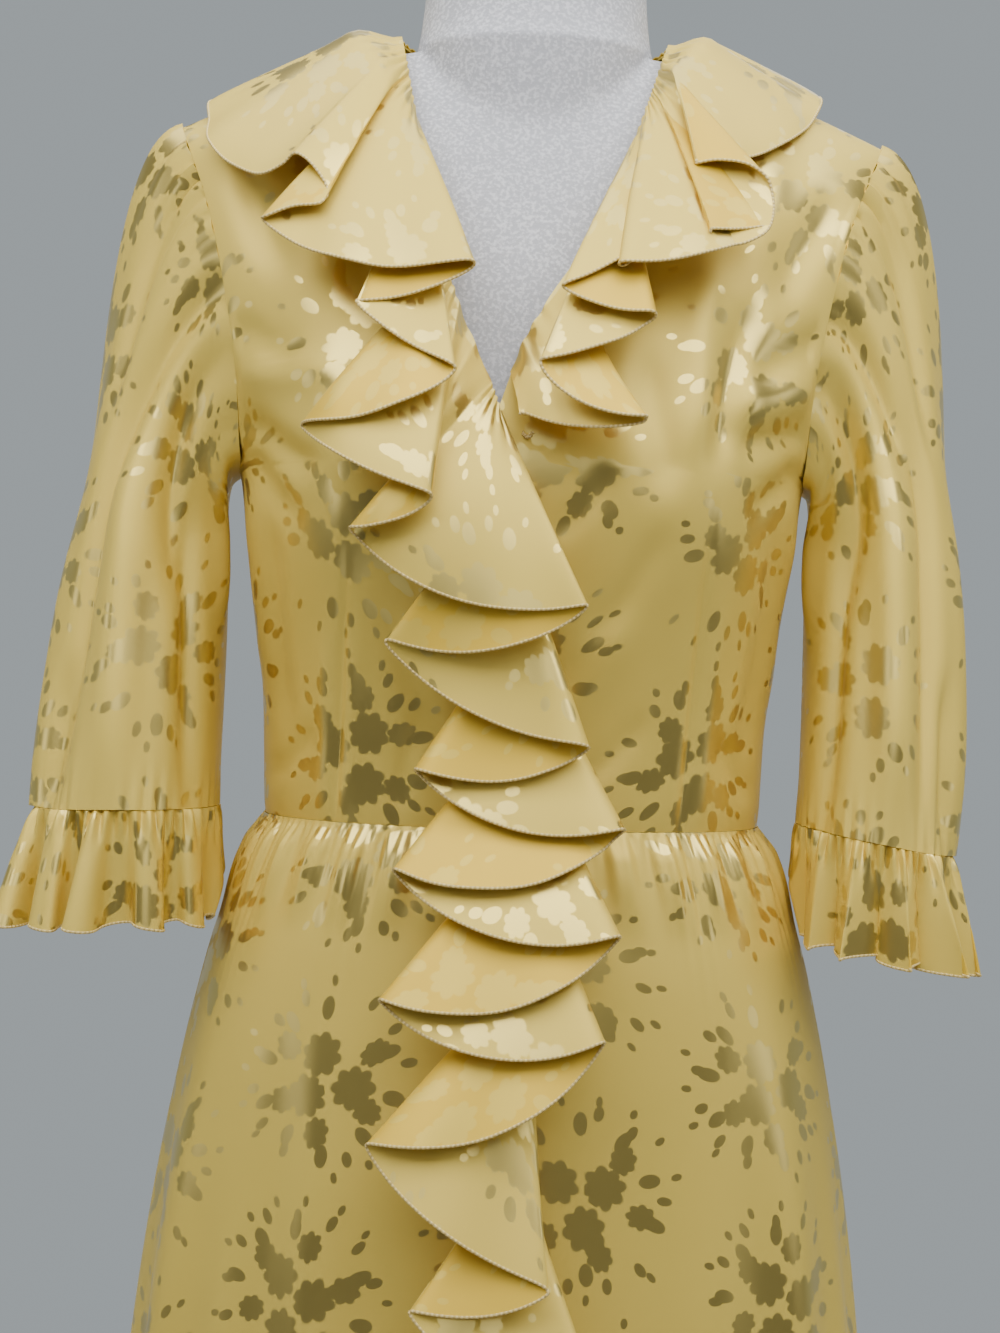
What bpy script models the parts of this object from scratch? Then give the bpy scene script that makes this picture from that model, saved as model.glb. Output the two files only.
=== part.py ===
"""A wrap dress with a flounced neckline, standing on a limbless dress form.

Every piece of cloth is a wall of even thickness round a middle surface that is worked out
from the dress's own sizes. The dress faces -Y, +Z is up, and the wearer's right is at -X.
The origin is on the floor, under the middle of the form.
"""

import math

import bpy
import numpy as np

# Cloth walls and the gaps between the pieces
PANEL_WALL = 0.0012
FLOUNCE_WALL = 0.0011
SEAM_GAP = 0.0003
HALF_SEAM = 0.0002

# A short step for measuring slopes, and the angle of the side seam from the front middle
STEP = 1e-4
SIDE = math.pi / 2

# Heights of the dress
HEM_Z = 0.350
WAIST_Z = 1.050
UNDERARM_Z = 1.236
CROSSING_Z = 1.266
SHOULDER_TIP = (0.196, 1.431)
SIDE_NECK = (0.074, 1.482)
BACK_NECK_Z = 1.466
BACK_NECK_Y = 0.062
SHOULDER_SEAM_Y = 0.010

# The section of the body: 2 is an ellipse, more is squarer
SECTION_POWER = 2.3
CLOSING_POWER = 2.4
CLOSING_Z = 1.290

# Soft fullness that the bust darts give: side place, height, depth and spread
BUST = {"x": 0.084, "z": 1.222, "depth": 0.016, "spread": 0.052}

# How far the overlapping front lies over the other one, and where it lifts off the side
OVERLAP_LIFT = 0.0032
LIFT_STARTS_X = -0.118
LIFT_ENDS_X = -0.092
LIFT_FADES = 0.05

# Sections of the bodice: height, half width, front depth, back depth
BODICE_SECTIONS = (
    (1.050, 0.1370, 0.104, 0.088),
    (1.093, 0.1385, 0.106, 0.092),
    (1.121, 0.1400, 0.109, 0.096),
    (1.149, 0.1425, 0.113, 0.100),
    (1.194, 0.1490, 0.119, 0.106),
    (1.236, 0.1560, 0.121, 0.110),
    (1.280, 0.1700, 0.117, 0.112),
    (1.330, 0.1860, 0.105, 0.108),
    (1.380, 0.1980, 0.090, 0.098),
    (1.431, 0.2060, 0.077, 0.084),
    (1.482, 0.2100, 0.066, 0.072),
)

# Rows of the bodice panels: 0 at the waist, 1 at the underarm, 2 at the shoulder seam
BODICE_LEVELS = (0.0, 0.17, 0.34, 0.5, 0.67, 0.84, 1.0, 1.05, 1.12, 1.24, 1.4, 1.57, 1.73, 1.86,
                 1.94, 1.985, 1.997, 2.0)

# Edges of the bodice: height and distance from the middle
ARMHOLE_FRONT = ((1.236, 0.1560), (1.246, 0.1535), (1.262, 0.1530), (1.290, 0.1550),
                 (1.330, 0.1620), (1.380, 0.1750), (1.431, 0.1960))
ARMHOLE_BACK = ((1.236, 0.1560), (1.246, 0.1540), (1.262, 0.1545), (1.290, 0.1590),
                (1.330, 0.1670), (1.380, 0.1800), (1.431, 0.1960))
OVER_EDGE = ((1.050, 0.0105), (1.110, 0.0080), (1.160, 0.0050), (1.210, -0.0020),
             (1.266, -0.0135), (1.323, -0.0370), (1.400, -0.0570), (1.482, -0.0740))
UNDER_EDGE = ((1.050, -0.0850), (1.130, -0.0600), (1.210, -0.0340), (1.266, -0.0135),
              (1.300, -0.0020), (1.347, 0.0240), (1.410, 0.0520), (1.482, 0.0740))

# Sections of the skirt: height, half width, front depth, back depth
SKIRT_SECTIONS = (
    (1.050, 0.1370, 0.104, 0.088),
    (1.025, 0.1480, 0.110, 0.100),
    (0.990, 0.1610, 0.116, 0.114),
    (0.945, 0.1720, 0.122, 0.128),
    (0.890, 0.1810, 0.128, 0.138),
    (0.760, 0.1940, 0.140, 0.150),
    (0.550, 0.2120, 0.158, 0.168),
    (0.350, 0.2300, 0.174, 0.184),
)
SKIRT_LEVELS = (WAIST_Z - SEAM_GAP, 1.040, 1.024, 0.996, 0.950, 0.870, 0.740, 0.550, HEM_Z)
SKIRT_OVER_EDGE = ((1.050, 0.0105), (0.950, 0.0130), (0.760, 0.0190), (0.350, 0.0320))
SKIRT_UNDER_EDGE = ((1.050, -0.0850), (0.760, -0.0860), (0.350, -0.0880))

# Long folds of the skirt, right round: angle, depth, spread and the height where each starts
SKIRT_FOLDS = (
    (-168, 0.012, 9, 1.00), (-146, 0.009, 7, 0.93), (-127, 0.013, 9, 1.00), (-106, 0.010, 7, 0.96),
    (-84, 0.008, 7, 0.98), (-63, 0.010, 8, 1.00), (-45, 0.006, 6, 0.90), (-27, 0.007, 7, 0.97),
    (33, 0.007, 7, 0.95), (52, 0.009, 8, 1.00), (71, 0.007, 6, 0.92), (88, 0.009, 8, 0.98),
    (108, 0.012, 8, 1.00), (129, 0.009, 7, 0.95), (150, 0.013, 9, 1.00), (171, 0.010, 7, 0.94),
)
GATHERS = 34
GATHER_DEPTH = 0.0022
GATHER_LENGTH = 0.060

# Sleeves: height, middle x, middle y, half width, half depth, for the wearer's right and left
SLEEVE_SECTIONS = {
    "right": ((1.200, 0.2040, -0.002, 0.0405, 0.056), (1.150, 0.2060, -0.010, 0.0440, 0.057),
              (1.100, 0.2080, -0.020, 0.0465, 0.057), (1.052, 0.2095, -0.031, 0.0480, 0.055)),
    "left": ((1.200, 0.2000, -0.002, 0.0390, 0.056), (1.150, 0.2010, -0.010, 0.0405, 0.057),
             (1.100, 0.2005, -0.020, 0.0410, 0.057), (1.046, 0.1980, -0.031, 0.0405, 0.055)),
}
SLEEVE_POWER = 0.9
SLEEVE_RINGS = (1.160, 1.120, 1.080)
SLEEVE_AROUND = 24
CAP_RINGS = 6
CAP_CORNER_GAP = 0.0014
CAP_PULL = 0.035
CAP_RISE = (0.02, 0.012)
UNDERARM_TILT = 0.2

# Cuff ruffles: depth of the frill, how far its edge spreads, the tilt and the waves
CUFF = {"drop": 0.060, "waves": 13, "wave": 0.0085, "columns": 4, "rows": 3, "clear": 0.007}
CUFF_SPREAD = {"right": 0.0150, "left": 0.0165}
CUFF_TILT = {"right": 0.03, "left": 0.17}

# The flounces: how far they stand off at the seam and further down, and how round they fold
SEAM_STAND = 0.0026
COLLAR_SEAM_STAND = 0.0024
FLOUNCE_KICK = 0.009
FLOUNCE_KICK_DROP = 0.016
FLOUNCE_SLOPE = 0.30
FLOUNCE_ROLL = 0.0034
FLOUNCE_SHARES = (0.0, 0.16, 0.52, 1.0)
FOLD_STEPS = (0.0, 0.08, 0.22, 0.41, 0.59, 0.78, 0.92)
FULL_ROLL_WIDTH = 0.080
SEAM_EASE = 0.5
COLLAR_BULGE = 0.017
COLLAR_STEPS = 3
COLLAR_SETTLES = 0.31
BACK_NECK_SHARE = 0.29

# A rounded block that stands for the chest, shoulders and back: half sizes and middle height
CHEST_HALF = (0.205, 0.105, 0.150)
CHEST_Z = 1.33

# How far the flounce keeps forward of the dress, for the gathers and folds under it
FRONT_ALLOWANCE = ((1.100, 0.0), (1.075, 0.0010), (1.050, 0.0034), (1.025, 0.0050), (0.980, 0.0062),
                   (0.900, 0.0085), (0.700, 0.0100), (0.350, 0.0105))

# Keys of the neck flounce from the middle of the back to the front: share of the way along
# the neck edge, then the free edge's distance from the middle, depth and height
COLLAR_RIGHT = (
    (0.000, 0.000, 0.122, 1.385), (0.070, 0.046, 0.130, 1.378), (0.130, 0.084, 0.117, 1.398),
    (0.180, 0.128, 0.102, 1.408), (0.230, 0.152, 0.062, 1.446), (0.270, 0.182, 0.018, 1.452),
    (0.305, 0.178, -0.030, 1.424), (0.335, 0.154, -0.072, 1.392), (0.360, 0.128, -0.080, 1.396),
    (0.385, 0.138, -0.116, 1.361),
)
COLLAR_LEFT = (
    (0.000, 0.000, 0.122, 1.385), (0.070, 0.040, 0.120, 1.392), (0.130, 0.088, 0.125, 1.388),
    (0.180, 0.120, 0.092, 1.424), (0.230, 0.164, 0.066, 1.436), (0.275, 0.178, 0.012, 1.458),
    (0.310, 0.172, -0.034, 1.432), (0.345, 0.140, -0.062, 1.416), (0.375, 0.152, -0.104, 1.378),
    (0.405, 0.120, -0.120, 1.364),
)

# Corners of the hanging folds: height of the seam above, then the corner's place and height
FOLDS_RIGHT = ((1.453, -0.138, 1.361),
               (1.425, -0.029, 1.336), (1.403, -0.088, 1.316), (1.374, -0.035, 1.281),
               (1.342, -0.112, 1.252), (1.320, -0.046, 1.217), (1.278, -0.083, 1.197),
               (1.261, 0.034, 1.166), (1.235, -0.067, 1.146), (1.190, 0.035, 1.094),
               (1.165, -0.048, 1.080), (1.140, 0.054, 1.053), (1.115, -0.057, 1.030),
               (1.087, 0.053, 1.001), (1.055, -0.062, 0.967), (1.030, 0.047, 0.950),
               (0.985, -0.067, 0.898), (0.930, 0.026, 0.833), (0.905, -0.044, 0.821),
               (0.866, 0.052, 0.776), (0.834, -0.050, 0.748), (0.796, 0.058, 0.708),
               (0.760, -0.048, 0.674), (0.722, 0.060, 0.634), (0.686, -0.052, 0.600),
               (0.648, 0.064, 0.562), (0.612, -0.050, 0.526), (0.574, 0.066, 0.488),
               (0.538, -0.052, 0.452), (0.500, 0.068, 0.414), (0.464, -0.050, 0.380),
               (0.440, 0.040, 0.356))
FOLDS_LEFT = ((1.447, 0.120, 1.364),
              (1.418, 0.018, 1.330), (1.395, 0.062, 1.312), (1.384, 0.006, 1.287),
              (1.322, 0.060, 1.258), (1.284, -0.004, 1.262))

# The dress form and its stand
FORM_INSET_HIP = 0.012
FORM_INSET = 0.0055
FORM_SHOULDER_INSET = 0.0005
FORM_ARM_INSET = 0.005
FORM_DROP = 0.0007
FORM_BACK_DROP = 0.0090
FORM_BACK_DROP_FROM = 0.11
FORM_BACK_DROP_OVER = 0.03
FORM_BOTTOM_Z = 0.820
FORM_LEVELS = (FORM_BOTTOM_Z, 0.826, 0.900, 0.985, 1.050, 1.110, 1.170, 1.225, 1.270, 1.310,
               1.350, 1.390, 1.415, 1.430, 1.443, 1.454, 1.463, 1.471, 1.480, 1.508, 1.552, 1.560)
FORM_AROUND = 32
FORM_SPOKES = 96
FORM_CORNER = 5
FORM_SHOULDERS_END = 0.007
NECK_HALF = (0.061, 0.044)
BLEND_POWER = 60

# The stand
BASE_RADIUS = 0.190
BASE_THICK = 0.022
BASE_EDGE = 0.010
POLE_RADIUS = 0.014
FLANGE_RADIUS = 0.050
FLANGE_THICK = 0.012
COLLAR_RADIUS = 0.028
COLLAR_TOP_Z = 0.052


def remove_everything():
    for thing in list(bpy.data.objects):
        bpy.data.objects.remove(thing, do_unlink=True)


def colour(name, rgb, roughness, metallic=0.0):
    """A Principled material."""
    material = bpy.data.materials.new(name)
    material.use_nodes = True
    shader = material.node_tree.nodes["Principled BSDF"]
    shader.inputs["Base Color"].default_value = (*rgb, 1.0)
    shader.inputs["Roughness"].default_value = roughness
    shader.inputs["Metallic"].default_value = metallic
    return material


def along(table, at, column=1):
    """Reads a table at a height, on a smooth curve through its rows."""
    rows = sorted(table)
    keys = np.array([row[0] for row in rows])
    values = np.array([row[column] for row in rows])
    slopes = np.gradient(values, keys)
    at = min(max(at, keys[0]), keys[-1])
    i = min(int(np.searchsorted(keys, at, side="right")) - 1, len(keys) - 2)
    span = keys[i + 1] - keys[i]
    t = (at - keys[i]) / span
    start = (2 * t ** 3 - 3 * t ** 2 + 1) * values[i] + (t ** 3 - 2 * t ** 2 + t) * span * slopes[i]
    end = (3 * t ** 2 - 2 * t ** 3) * values[i + 1] + (t ** 3 - t ** 2) * span * slopes[i + 1]
    return start + end


def straight(table, at):
    """Reads a table on straight lines between its rows."""
    return float(np.interp(at, [row[0] for row in table], [row[1] for row in table]))


def ease(t):
    """Rises smoothly from 0 to 1."""
    t = min(max(t, 0.0), 1.0)
    return t * t * (3 - 2 * t)


def shoulder_z(x):
    """The height of the shoulder seam, level inside the neck."""
    reach = min(max((abs(x) - SIDE_NECK[0]) / (SHOULDER_TIP[0] - SIDE_NECK[0]), 0.0), 1.2)
    return SIDE_NECK[1] + (SHOULDER_TIP[1] - SIDE_NECK[1]) * reach


def neck_share(x):
    """1 in the middle of the neck and 0 from the side-neck point outwards."""
    return max(0.0, 1 - (x / SIDE_NECK[0]) ** 2)


def top_z(x, back):
    """The height of a panel's upper edge."""
    dip = (SIDE_NECK[1] - BACK_NECK_Z) * neck_share(x) if back else 0.0
    return shoulder_z(x) - dip


def seam_y(x, back):
    """The depth of a panel's upper edge."""
    rise = (BACK_NECK_Y - SHOULDER_SEAM_Y) * neck_share(x) if back else 0.0
    return SHOULDER_SEAM_Y + rise


def section_angle(x, z):
    """The angle round the body, from the front middle, at which a section is x wide."""
    share = min(abs(x) / along(BODICE_SECTIONS, z), 1.0)
    return math.copysign(math.asin(share ** (SECTION_POWER / 2)), x)


def overlap_lift(x):
    """How far the overlapping front stands off the other one."""
    return OVERLAP_LIFT * ease((x - LIFT_STARTS_X) / (LIFT_ENDS_X - LIFT_STARTS_X))


def body_point(angle, level, back=False, over=False):
    """A point of the bodice's middle surface.

    The level runs from 0 at the waist to 1 at the underarm and 2 at the shoulder seam.
    """
    z = WAIST_Z + (UNDERARM_Z - WAIST_Z) * min(level, 1.0)
    power = 2 / SECTION_POWER
    for _ in range(4 if level > 1 else 1):
        x = along(BODICE_SECTIONS, z) * math.copysign(abs(math.sin(angle)) ** power, math.sin(angle))
        if level > 1:
            z = UNDERARM_Z + (top_z(x, back) - UNDERARM_Z) * (level - 1)
    depth = along(BODICE_SECTIONS, z, 3 if back else 2) * abs(math.cos(angle)) ** power
    if not back:
        away = math.hypot(abs(x) - BUST["x"], 0.8 * (z - BUST["z"])) / BUST["spread"]
        depth += BUST["depth"] * math.exp(-away ** 2) * abs(math.cos(angle)) ** 0.5
    side = 1 if back else -1
    y = side * depth
    if z > CLOSING_Z:
        t = min((z - CLOSING_Z) / (top_z(x, back) - CLOSING_Z), 1.0)
        closing = (1 - t ** CLOSING_POWER) ** (1 / CLOSING_POWER)
        y = seam_y(x, back) + (y - seam_y(x, back)) * closing
    y += side * HALF_SEAM
    if over:
        y -= overlap_lift(x) * (1 - ease((z - CROSSING_Z) / LIFT_FADES))
    return np.array((x, y, z))


def normal_of(surface, angle, height, heights, level):
    """The normal of a surface, from nearby points on it; a level one lies flat."""
    a0, a1 = max(angle - STEP, -SIDE), min(angle + STEP, SIDE)
    h0, h1 = max(height - STEP, heights[0]), min(height + STEP, heights[1])
    across = surface(a1, height) - surface(a0, height)
    normal = np.cross(across, surface(angle, h1) - surface(angle, h0))
    if level:
        normal[2] = 0.0
    return normal / np.linalg.norm(normal)


def grid_normals(points, closed):
    """Normals of a grid of points, from its own neighbours."""
    if closed:
        across = np.roll(points, -1, 0) - np.roll(points, 1, 0)
    else:
        across = np.gradient(points, axis=0)
    normals = np.cross(across, np.gradient(points, axis=1))
    lengths = np.linalg.norm(normals, axis=2, keepdims=True)
    return normals / np.maximum(lengths, 1e-12)


def wall(name, points, thickness, material, normals=None, closed=False, smooth=True):
    """A closed wall of even thickness round a grid of middle points."""
    points = np.asarray(points, float)
    if normals is None:
        normals = grid_normals(points, closed)
    across, rows = points.shape[:2]
    outer = (points + normals * thickness / 2).reshape(-1, 3)
    inner = (points - normals * thickness / 2).reshape(-1, 3)
    under = len(outer)
    faces = []

    def number(i, j):
        return (i % across) * rows + j

    for i in range(across if closed else across - 1):
        for j in range(rows - 1):
            a, b, c, d = number(i, j), number(i + 1, j), number(i + 1, j + 1), number(i, j + 1)
            faces += [(a, b, c), (a, c, d)]
            faces += [(under + c, under + b, under + a), (under + d, under + c, under + a)]
    rim = []
    for i in range(across if closed else across - 1):
        rim.append((number(i, 0), number(i + 1, 0)))
        rim.append((number(i + 1, rows - 1), number(i, rows - 1)))
    if not closed:
        for j in range(rows - 1):
            rim.append((number(0, j + 1), number(0, j)))
            rim.append((number(across - 1, j), number(across - 1, j + 1)))
    for a, b in rim:
        faces += [(b, a, under + a), (b, under + a, under + b)]
    return body(name, np.vstack((outer, inner)), faces, material, smooth)


def body(name, points, faces, material, smooth=True):
    """A mesh object with one material."""
    mesh = bpy.data.meshes.new(name)
    mesh.from_pydata([tuple(map(float, p)) for p in points], [], faces)
    mesh.materials.append(material)
    if smooth:
        mesh.shade_smooth()
        mesh.set_sharp_from_angle(angle=math.radians(50))
    thing = bpy.data.objects.new(name, mesh)
    bpy.context.collection.objects.link(thing)
    return thing


def level_of(z, x, back=False):
    """The level of a height on the bodice."""
    if z <= UNDERARM_Z:
        return (z - WAIST_Z) / (UNDERARM_Z - WAIST_Z)
    return 1 + (z - UNDERARM_Z) / (top_z(x, back) - UNDERARM_Z)


def edge_angle(table, level, sign=1, back=False):
    """The angle at which an edge crosses a level, from a table of the edge's places."""
    z = WAIST_Z + (UNDERARM_Z - WAIST_Z) * min(level, 1.0)
    x = sign * along(table, z)
    if level > 1:
        for _ in range(12):
            z = UNDERARM_Z + (top_z(x, back) - UNDERARM_Z) * (level - 1)
            x = sign * along(table, z)
    return section_angle(x, z)


def spread(counts, stops):
    """Shares out columns between stops: the angle of each column, in order."""
    angles = [stops[0]]
    for count, start, end in zip(counts, stops, stops[1:]):
        angles += [start + (end - start) * (i + 1) / count for i in range(count)]
    return angles


def bodice_panel(name, counts, stops, material, back=False, over=False):
    """A bodice panel whose columns are shared out between stops, each a function of the level."""
    def surface(angle, level):
        return body_point(angle, level, back, over)

    rows, normals = [], []
    for level in BODICE_LEVELS:
        angles = spread(counts, [stop(level) for stop in stops])
        rows.append([surface(angle, level) for angle in angles])
        normals.append([normal_of(surface, angle, level, (0.0, 2.0), level == 0) for angle in angles])
    points = np.swapaxes(np.asarray(rows), 0, 1)
    normals = np.swapaxes(np.asarray(normals), 0, 1)
    if back:
        points, normals = points[::-1], -normals[::-1]
    return wall(name, points, PANEL_WALL, material, normals)


def make_bodice(material):
    """The two fronts, which cross, and the back between the shoulder and side seams."""
    def armhole(table, sign, back=False):
        return lambda level: sign * SIDE if level <= 1 else edge_angle(table, level, sign, back)

    def side_neck(sign):
        return lambda level: edge_angle(((WAIST_Z, SIDE_NECK[0]), SIDE_NECK[::-1]), level, sign, True)

    bodice_panel("bodice_front_right", (13,),
                 (armhole(ARMHOLE_FRONT, -1), lambda level: edge_angle(OVER_EDGE, level)),
                 material, over=True)
    bodice_panel("bodice_front_left", (14,),
                 (lambda level: edge_angle(UNDER_EDGE, level), armhole(ARMHOLE_FRONT, 1)),
                 material)
    bodice_panel("bodice_back", (6, 9, 6),
                 (armhole(ARMHOLE_BACK, -1, True), side_neck(-1), side_neck(1),
                  armhole(ARMHOLE_BACK, 1, True)),
                 material, back=True)


def skirt_base(angle, z, back, over):
    """A point of the skirt before its folds."""
    power = 2 / SECTION_POWER
    x = along(SKIRT_SECTIONS, z) * math.copysign(abs(math.sin(angle)) ** power, math.sin(angle))
    depth = along(SKIRT_SECTIONS, z, 3 if back else 2) * abs(math.cos(angle)) ** power
    side = 1 if back else -1
    y = side * (depth + HALF_SEAM)
    if over:
        y -= overlap_lift(x)
    return np.array((x, y, z))


def fold_depth(degrees, z):
    """How far the folds and gathers push the skirt out at a bearing from the front middle."""
    total = 0.0
    for bearing, depth, width, start in SKIRT_FOLDS:
        away = (degrees - bearing + 180) % 360 - 180
        length = max((start - z) / (start - HEM_Z), 0.0)
        growth = ease(length / 0.35) * (0.7 + 0.6 * length)
        total += depth * math.exp(-(away / width) ** 2) * growth
    drop = (WAIST_Z - z) / GATHER_LENGTH
    gather = GATHER_DEPTH * ease(drop / 0.25) * (1 - ease((drop - 0.35) / 0.65))
    return total + gather * (1 + math.cos(math.radians(degrees) * GATHERS))


def skirt_point(angle, z, back=False, over=False):
    """A point of the skirt's middle surface, pushed out square to its section."""
    base = skirt_base(angle, z, back, over)
    before, after = max(angle - STEP, -SIDE), min(angle + STEP, SIDE)
    tangent = skirt_base(after, z, back, over) - skirt_base(before, z, back, over)
    outward = np.array((tangent[1], -tangent[0], 0.0))
    if back:
        outward = -outward
    outward /= np.linalg.norm(outward)
    bearing = math.degrees(angle)
    if back:
        bearing = 180 - bearing
    side_seam = 1 - math.exp(-((abs(abs(bearing) - 90)) / 1.5) ** 2)
    return base + outward * fold_depth(bearing, z) * side_seam


def skirt_panel(name, columns, edges, material, back=False, over=False):
    """A skirt panel between two edges, each a function of the height."""
    def surface(angle, z):
        return skirt_point(angle, z, back, over)

    points, normals = [], []
    for i in range(columns + 1):
        share = i / columns
        column, outward = [], []
        for z in SKIRT_LEVELS:
            angle = edges[0](z) + (edges[1](z) - edges[0](z)) * share
            column.append(surface(angle, z))
            outward.append(normal_of(surface, angle, z, (HEM_Z, WAIST_Z), z > WAIST_Z - STEP * 9))
        points.append(column[::-1])
        normals.append(outward[::-1])
    points, normals = np.asarray(points), np.asarray(normals)
    if back:
        points, normals = points[::-1], -normals[::-1]
    return wall(name, points, PANEL_WALL, material, normals)


def make_skirt(material):
    """The two skirt fronts, which overlap, and the skirt back."""
    def angle_at(table):
        def at(z):
            share = along(table, z) / along(SKIRT_SECTIONS, z)
            return math.copysign(math.asin(abs(share) ** (SECTION_POWER / 2)), share)
        return at

    skirt_panel("skirt_front_right", 24, (lambda z: -SIDE, angle_at(SKIRT_OVER_EDGE)), material,
                over=True)
    skirt_panel("skirt_front_left", 29, (angle_at(SKIRT_UNDER_EDGE), lambda z: SIDE), material)
    skirt_panel("skirt_back", 36, (lambda z: -SIDE, lambda z: SIDE), material, back=True)


def armhole_loop(sign, steps):
    """Points, and directions away from the bodice, round the armhole, from the underarm
    up the front, over the shoulder tip and down the back."""
    points, normals = [], []
    for i in range(steps):
        share = 2 * i / steps
        back = share > 1
        rise = 1 - abs(1 - share)
        level = min(1 + rise ** 1.5, 1.9999)
        table = ARMHOLE_BACK if back else ARMHOLE_FRONT
        angle = edge_angle(table, level, sign, back)
        if rise == 0:
            angle = sign * math.pi / 2
        points.append(body_point(angle, level, back))
        normals.append(normal_of(lambda a, b: body_point(a, b, back), angle, level, (0.0, 2.0), False))
        if back:
            normals[-1] = -normals[-1]
    points = np.array(points)
    along_edge = np.roll(points, -1, 0) - np.roll(points, 1, 0)
    away = sign * np.cross(along_edge, np.array(normals))
    return points, away / np.linalg.norm(away, axis=1, keepdims=True), np.array(normals)


def sleeve_section(side, z, turn):
    """A point of the sleeve's section; the turn runs from the inside to the front, out and back."""
    sign = -1 if side == "right" else 1
    table = SLEEVE_SECTIONS[side]
    c, s = -math.cos(turn), -math.sin(turn)
    x = along(table, z, 1) + along(table, z, 3) * math.copysign(abs(c) ** SLEEVE_POWER, c)
    y = along(table, z, 2) + along(table, z, 4) * math.copysign(abs(s) ** SLEEVE_POWER, s)
    return np.array((sign * x, y, z))


def make_sleeve(side, material):
    """A sleeve from its armhole, over a rounded cap, down to the cuff seam."""
    sign = -1 if side == "right" else 1
    loop, away, normals = armhole_loop(sign, SLEEVE_AROUND)
    table = SLEEVE_SECTIONS[side]
    top_section, cuff_z = table[0][0], table[-1][0]
    columns = []
    for i in range(SLEEVE_AROUND):
        turn = 2 * math.pi * i / SLEEVE_AROUND
        end = sleeve_section(side, top_section, turn)
        below = sleeve_section(side, top_section - 0.03, turn)
        rise = (loop[i][2] - end[2])
        off_side = 1 - abs(1 - 2 * i / SLEEVE_AROUND)
        cap = ease(2.2 * off_side)
        pull = away[i] * cap + (normals[i] - np.array((0.0, 0.0, UNDERARM_TILT))) * (1 - cap)
        corner = CAP_CORNER_GAP * (1 - ease(1.4 * off_side))
        loop[i] += away[i] * (PANEL_WALL / 2 + SEAM_GAP + HALF_SEAM + corner)
        start_pull = pull * (0.35 * rise + CAP_PULL)
        start_pull += np.array((sign * CAP_RISE[0], 0, CAP_RISE[1])) * cap
        end_pull = (below - end) / 0.03 * (0.9 * rise + 0.02)
        column = []
        for ring in range(CAP_RINGS):
            t = ring / CAP_RINGS
            point = (2 * t ** 3 - 3 * t ** 2 + 1) * loop[i] + (t ** 3 - 2 * t ** 2 + t) * start_pull
            point += (3 * t ** 2 - 2 * t ** 3) * end + (t ** 3 - t ** 2) * end_pull
            column.append(point)
        for z in (top_section, *SLEEVE_RINGS, cuff_z + SEAM_GAP):
            tilt = CUFF_TILT[side] * (top_section - z) / (top_section - cuff_z)
            point = sleeve_section(side, z, turn)
            point[2] -= tilt * (abs(point[0]) - along(table, z, 1))
            column.append(point)
        columns.append(column[::-1])
    if side == "right":
        columns = columns[::-1]
    return wall("sleeve_" + side, columns, PANEL_WALL, material, closed=True)


def clear_of_skirt(point, clearance):
    """Moves a point of a cuff sideways until it is clear of the skirt."""
    if point[2] > WAIST_Z:
        return point
    deep = along(SKIRT_SECTIONS, point[2], 3 if point[1] > 0 else 2) + clearance
    wide = along(SKIRT_SECTIONS, point[2]) + clearance
    share = min(abs(point[1]) / deep, 1.0)
    nearest = wide * (1 - share ** SECTION_POWER) ** (1 / SECTION_POWER)
    point[0] = math.copysign(max(abs(point[0]), nearest), point[0])
    return point


def make_cuff(side, material):
    """The gathered ruffle below the sleeve, in waves that grow towards its edge.

    The waves and the flare are smaller on the inner side, next to the skirt.
    """
    table = SLEEVE_SECTIONS[side]
    cuff_z = table[-1][0]
    count = CUFF["waves"] * CUFF["columns"]
    columns = []
    for i in range(count):
        turn = 2 * math.pi * i / count
        top = sleeve_section(side, cuff_z, turn)
        middle = np.array((math.copysign(table[-1][1], top[0]), table[-1][2], cuff_z))
        outward = (top - middle) / np.linalg.norm(top - middle)
        column = []
        for row in range(CUFF["rows"] + 1):
            w = row / CUFF["rows"]
            free = (1 - math.cos(turn)) / 2
            wave = CUFF["wave"] * (0.45 + 0.55 * free) * math.sin(CUFF["waves"] * turn)
            flare = CUFF_SPREAD[side] * (0.35 + 0.65 * free) * w ** 0.8
            point = top + outward * (flare + wave * w ** 0.9)
            point[2] -= CUFF["drop"] * w
            point[2] -= CUFF_TILT[side] * (abs(top[0]) - table[-1][1])
            point[2] -= SEAM_GAP
            column.append(clear_of_skirt(point, CUFF["clear"]))
        columns.append(column[::-1])
    if side == "right":
        columns = columns[::-1]
    return wall("cuff_" + side, columns, FLOUNCE_WALL, material, closed=True)


def outward_at(point):
    """The direction away from the middle of the chest, shoulders and back."""
    from_middle = np.array((point[0], point[1], point[2] - CHEST_Z))
    gradient = from_middle / np.array(CHEST_HALF) ** 2
    return gradient / np.linalg.norm(gradient)


def front_y(x, z):
    """The depth of the dress's front at a place."""
    allowance = along(FRONT_ALLOWANCE, z)
    if z >= WAIST_Z:
        return body_point(section_angle(x, z), level_of(z, x), over=True)[1] - allowance
    share = min(abs(x) / along(SKIRT_SECTIONS, z), 1.0)
    angle = math.copysign(math.asin(share ** (SECTION_POWER / 2)), x)
    return skirt_base(angle, max(z, HEM_Z), False, True)[1] - allowance


def hanging_stand(drop):
    """How far a hanging flounce stands off the dress, so far below its seam."""
    return SEAM_STAND + FLOUNCE_SLOPE * drop + FLOUNCE_KICK * (1 - math.exp(-drop / FLOUNCE_KICK_DROP))


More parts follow.
